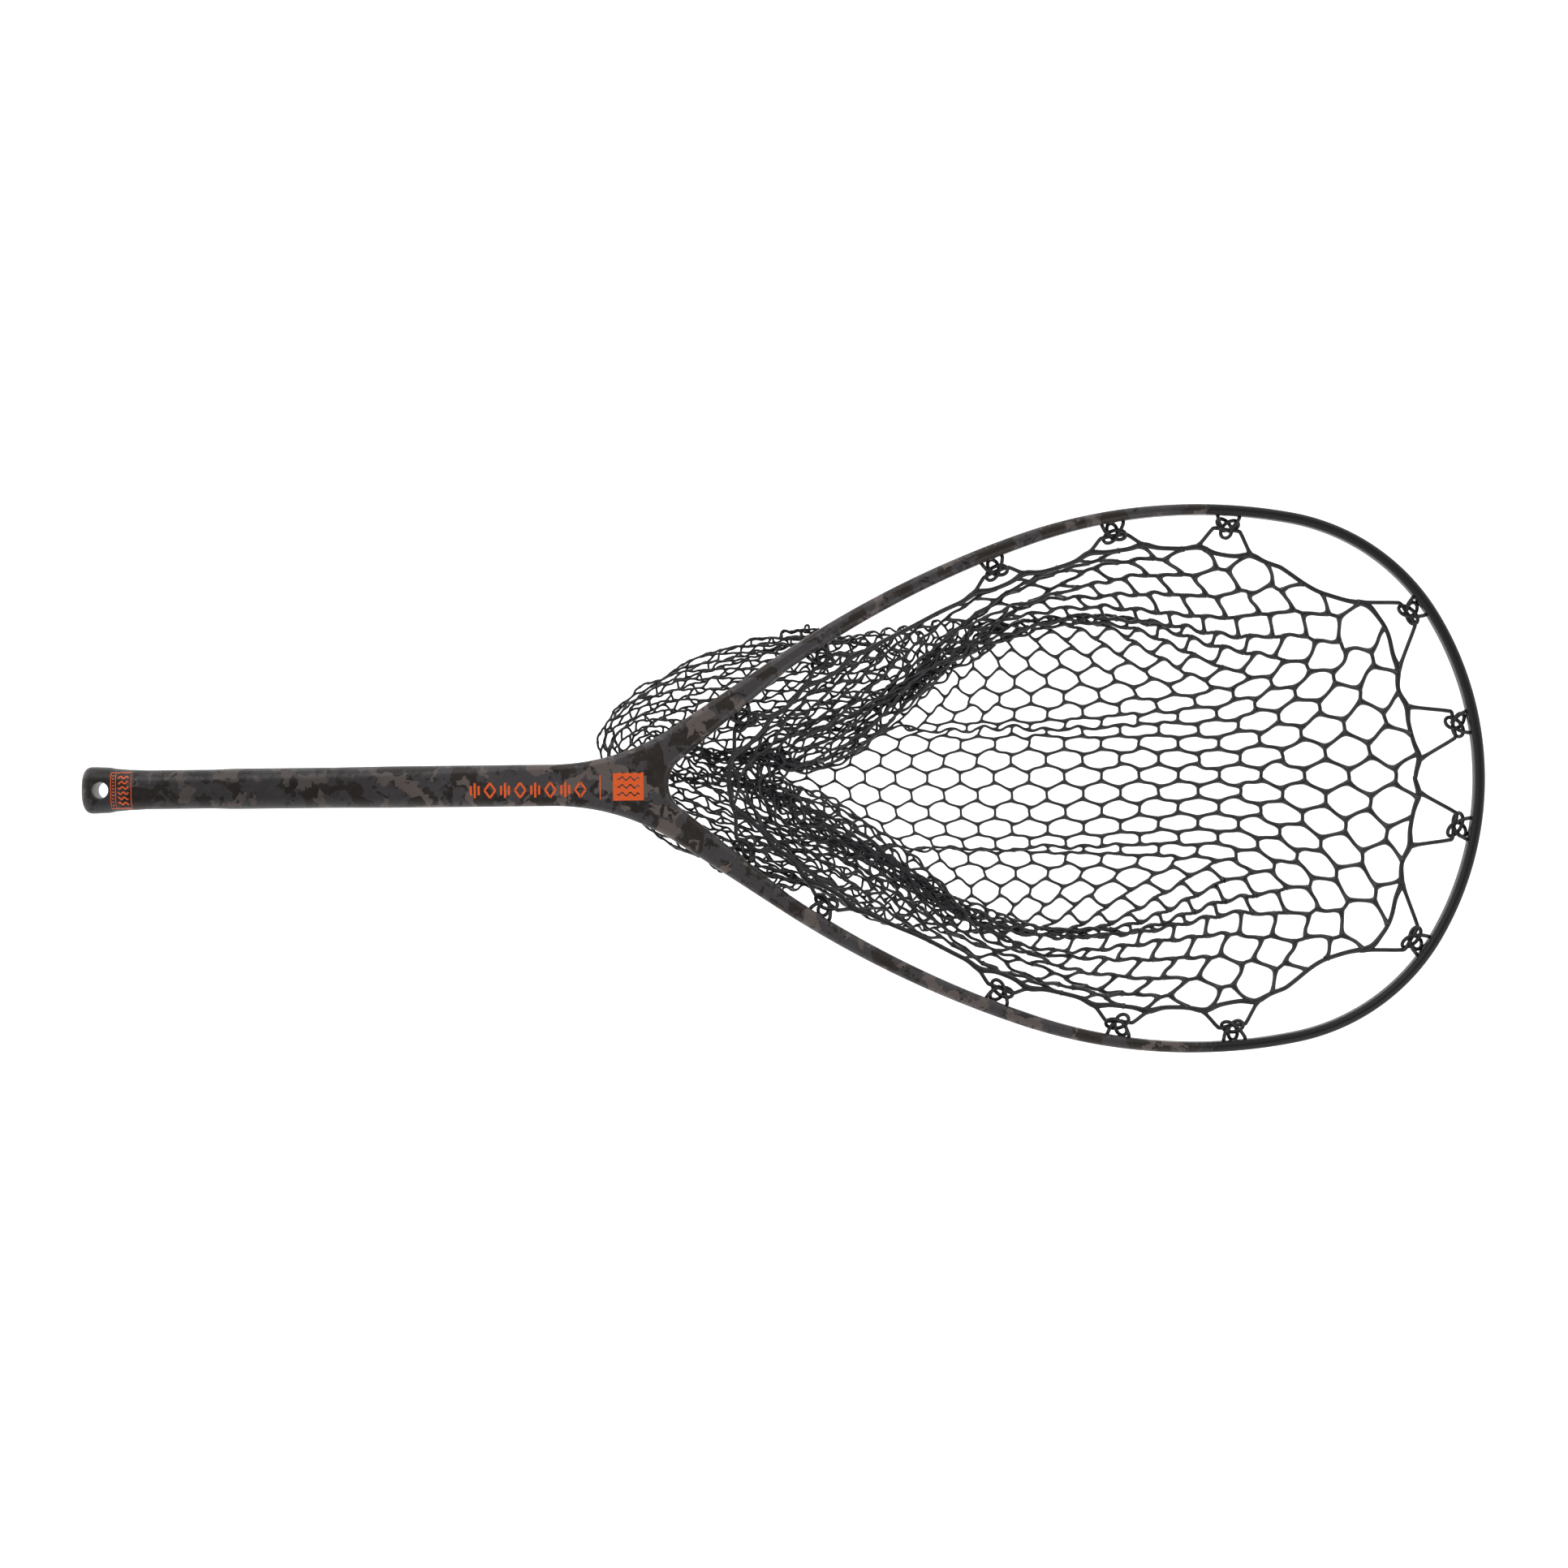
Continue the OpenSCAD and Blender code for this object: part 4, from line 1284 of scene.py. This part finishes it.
def strands(pick):
    """Tubes along the picked edges: points, quads, and each point's depth in the bag and how many
    periods from the front's middle its strand starts."""
    a, b = edges[pick, 0], edges[pick, 1]
    start, end = nodes[a], nodes[b]
    size = np.linalg.norm(end - start, axis=1)[:, None]
    t0 = leaving(a, b) * size * CURL
    t1 = -leaving(b, a) * size * CURL
    t = np.linspace(0, 1, SPANS + 1)[None, :, None]
    path = ((2 * t ** 3 - 3 * t ** 2 + 1) * start[:, None] + (t ** 3 - 2 * t ** 2 + t) * t0[:, None]
            + (3 * t ** 2 - 2 * t ** 3) * end[:, None] + (t ** 3 - t ** 2) * t1[:, None])
    near = np.abs(t[..., 0] - 0.5) * 2
    deep = depth[a % LEVELS][:, None]
    top = STRAND_TOP - REAR_THINNING * smooth((np.abs(period[a // LEVELS]) - 5) / 5)[:, None]
    thin = STRAND_FOOT + (top - STRAND_FOOT) * (1 - smooth(deep / 0.7))
    gain = JOINT_GAIN * np.clip(size / 12, 0.35, 1)
    radius = thin * (1 + gain * near ** 4)
    path[:, :, 2] = np.maximum(path[:, :, 2], radius + 0.05)
    tangent = normed(np.gradient(path, axis=1), TINY)
    side = normed(np.cross(tangent, np.array([0.05, 0.03, 1.0])), TINY)
    up = np.cross(side, tangent)
    q = np.arange(STRAND_SIDES) * 2 * math.pi / STRAND_SIDES
    ring = (np.cos(q)[None, None, :, None] * side[:, :, None]
            + np.sin(q)[None, None, :, None] * up[:, :, None])
    points = path[:, :, None] + ring * radius[:, :, None, None]
    n = len(pick)
    per = (SPANS + 1) * STRAND_SIDES
    base = (np.arange(n) * per)[:, None, None]
    i, j = np.meshgrid(np.arange(SPANS), np.arange(STRAND_SIDES), indexing="ij")
    i, j = i[None], j[None]
    nj = (j + 1) % STRAND_SIDES
    quads = np.stack([base + i * STRAND_SIDES + j, base + (i + 1) * STRAND_SIDES + j,
                      base + (i + 1) * STRAND_SIDES + nj, base + i * STRAND_SIDES + nj], -1)
    depths = depth[a % LEVELS][:, None] * (1 - t[..., 0]) + depth[b % LEVELS][:, None] * t[..., 0]
    depths = np.repeat(depths[:, :, None], STRAND_SIDES, axis=2)
    fronts = np.abs(period[a // LEVELS])[:, None, None] * np.ones_like(depths)
    return points.reshape(-1, 3), quads.reshape(-1, 4), depths.ravel(), fronts.ravel()


halves = [np.nonzero(edges[:, 0] // LEVELS < COLUMNS // 2)[0],
          np.nonzero(edges[:, 0] // LEVELS >= COLUMNS // 2)[0]]
# A rung goes into the half of its first column over its whole length. Its far end can part from the
# next column as the bag drops: an open fault.
for name, pick in zip(("net_right", "net_left"), halves):
    points, quads, depths, fronts = strands(pick)
    piece = make_mesh(name, points, quads, NET_RUBBER)
    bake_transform(piece)
    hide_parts("net_bag")

# ---------------- floor
# It lies below the lowest point of the dropped bag, so it hides nothing in any pose
FLOOR_Z = -420.0
FLOOR_REACH = 6000.0
signs = ((-1, -1), (1, -1), (1, 1), (-1, 1))
corners = [(sx * FLOOR_REACH, sy * FLOOR_REACH, FLOOR_Z) for sx, sy in signs]
floor = make_mesh("floor", corners, [[0, 1, 2, 3]], light_table(), smooth_shade=False)
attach(floor, "frame")
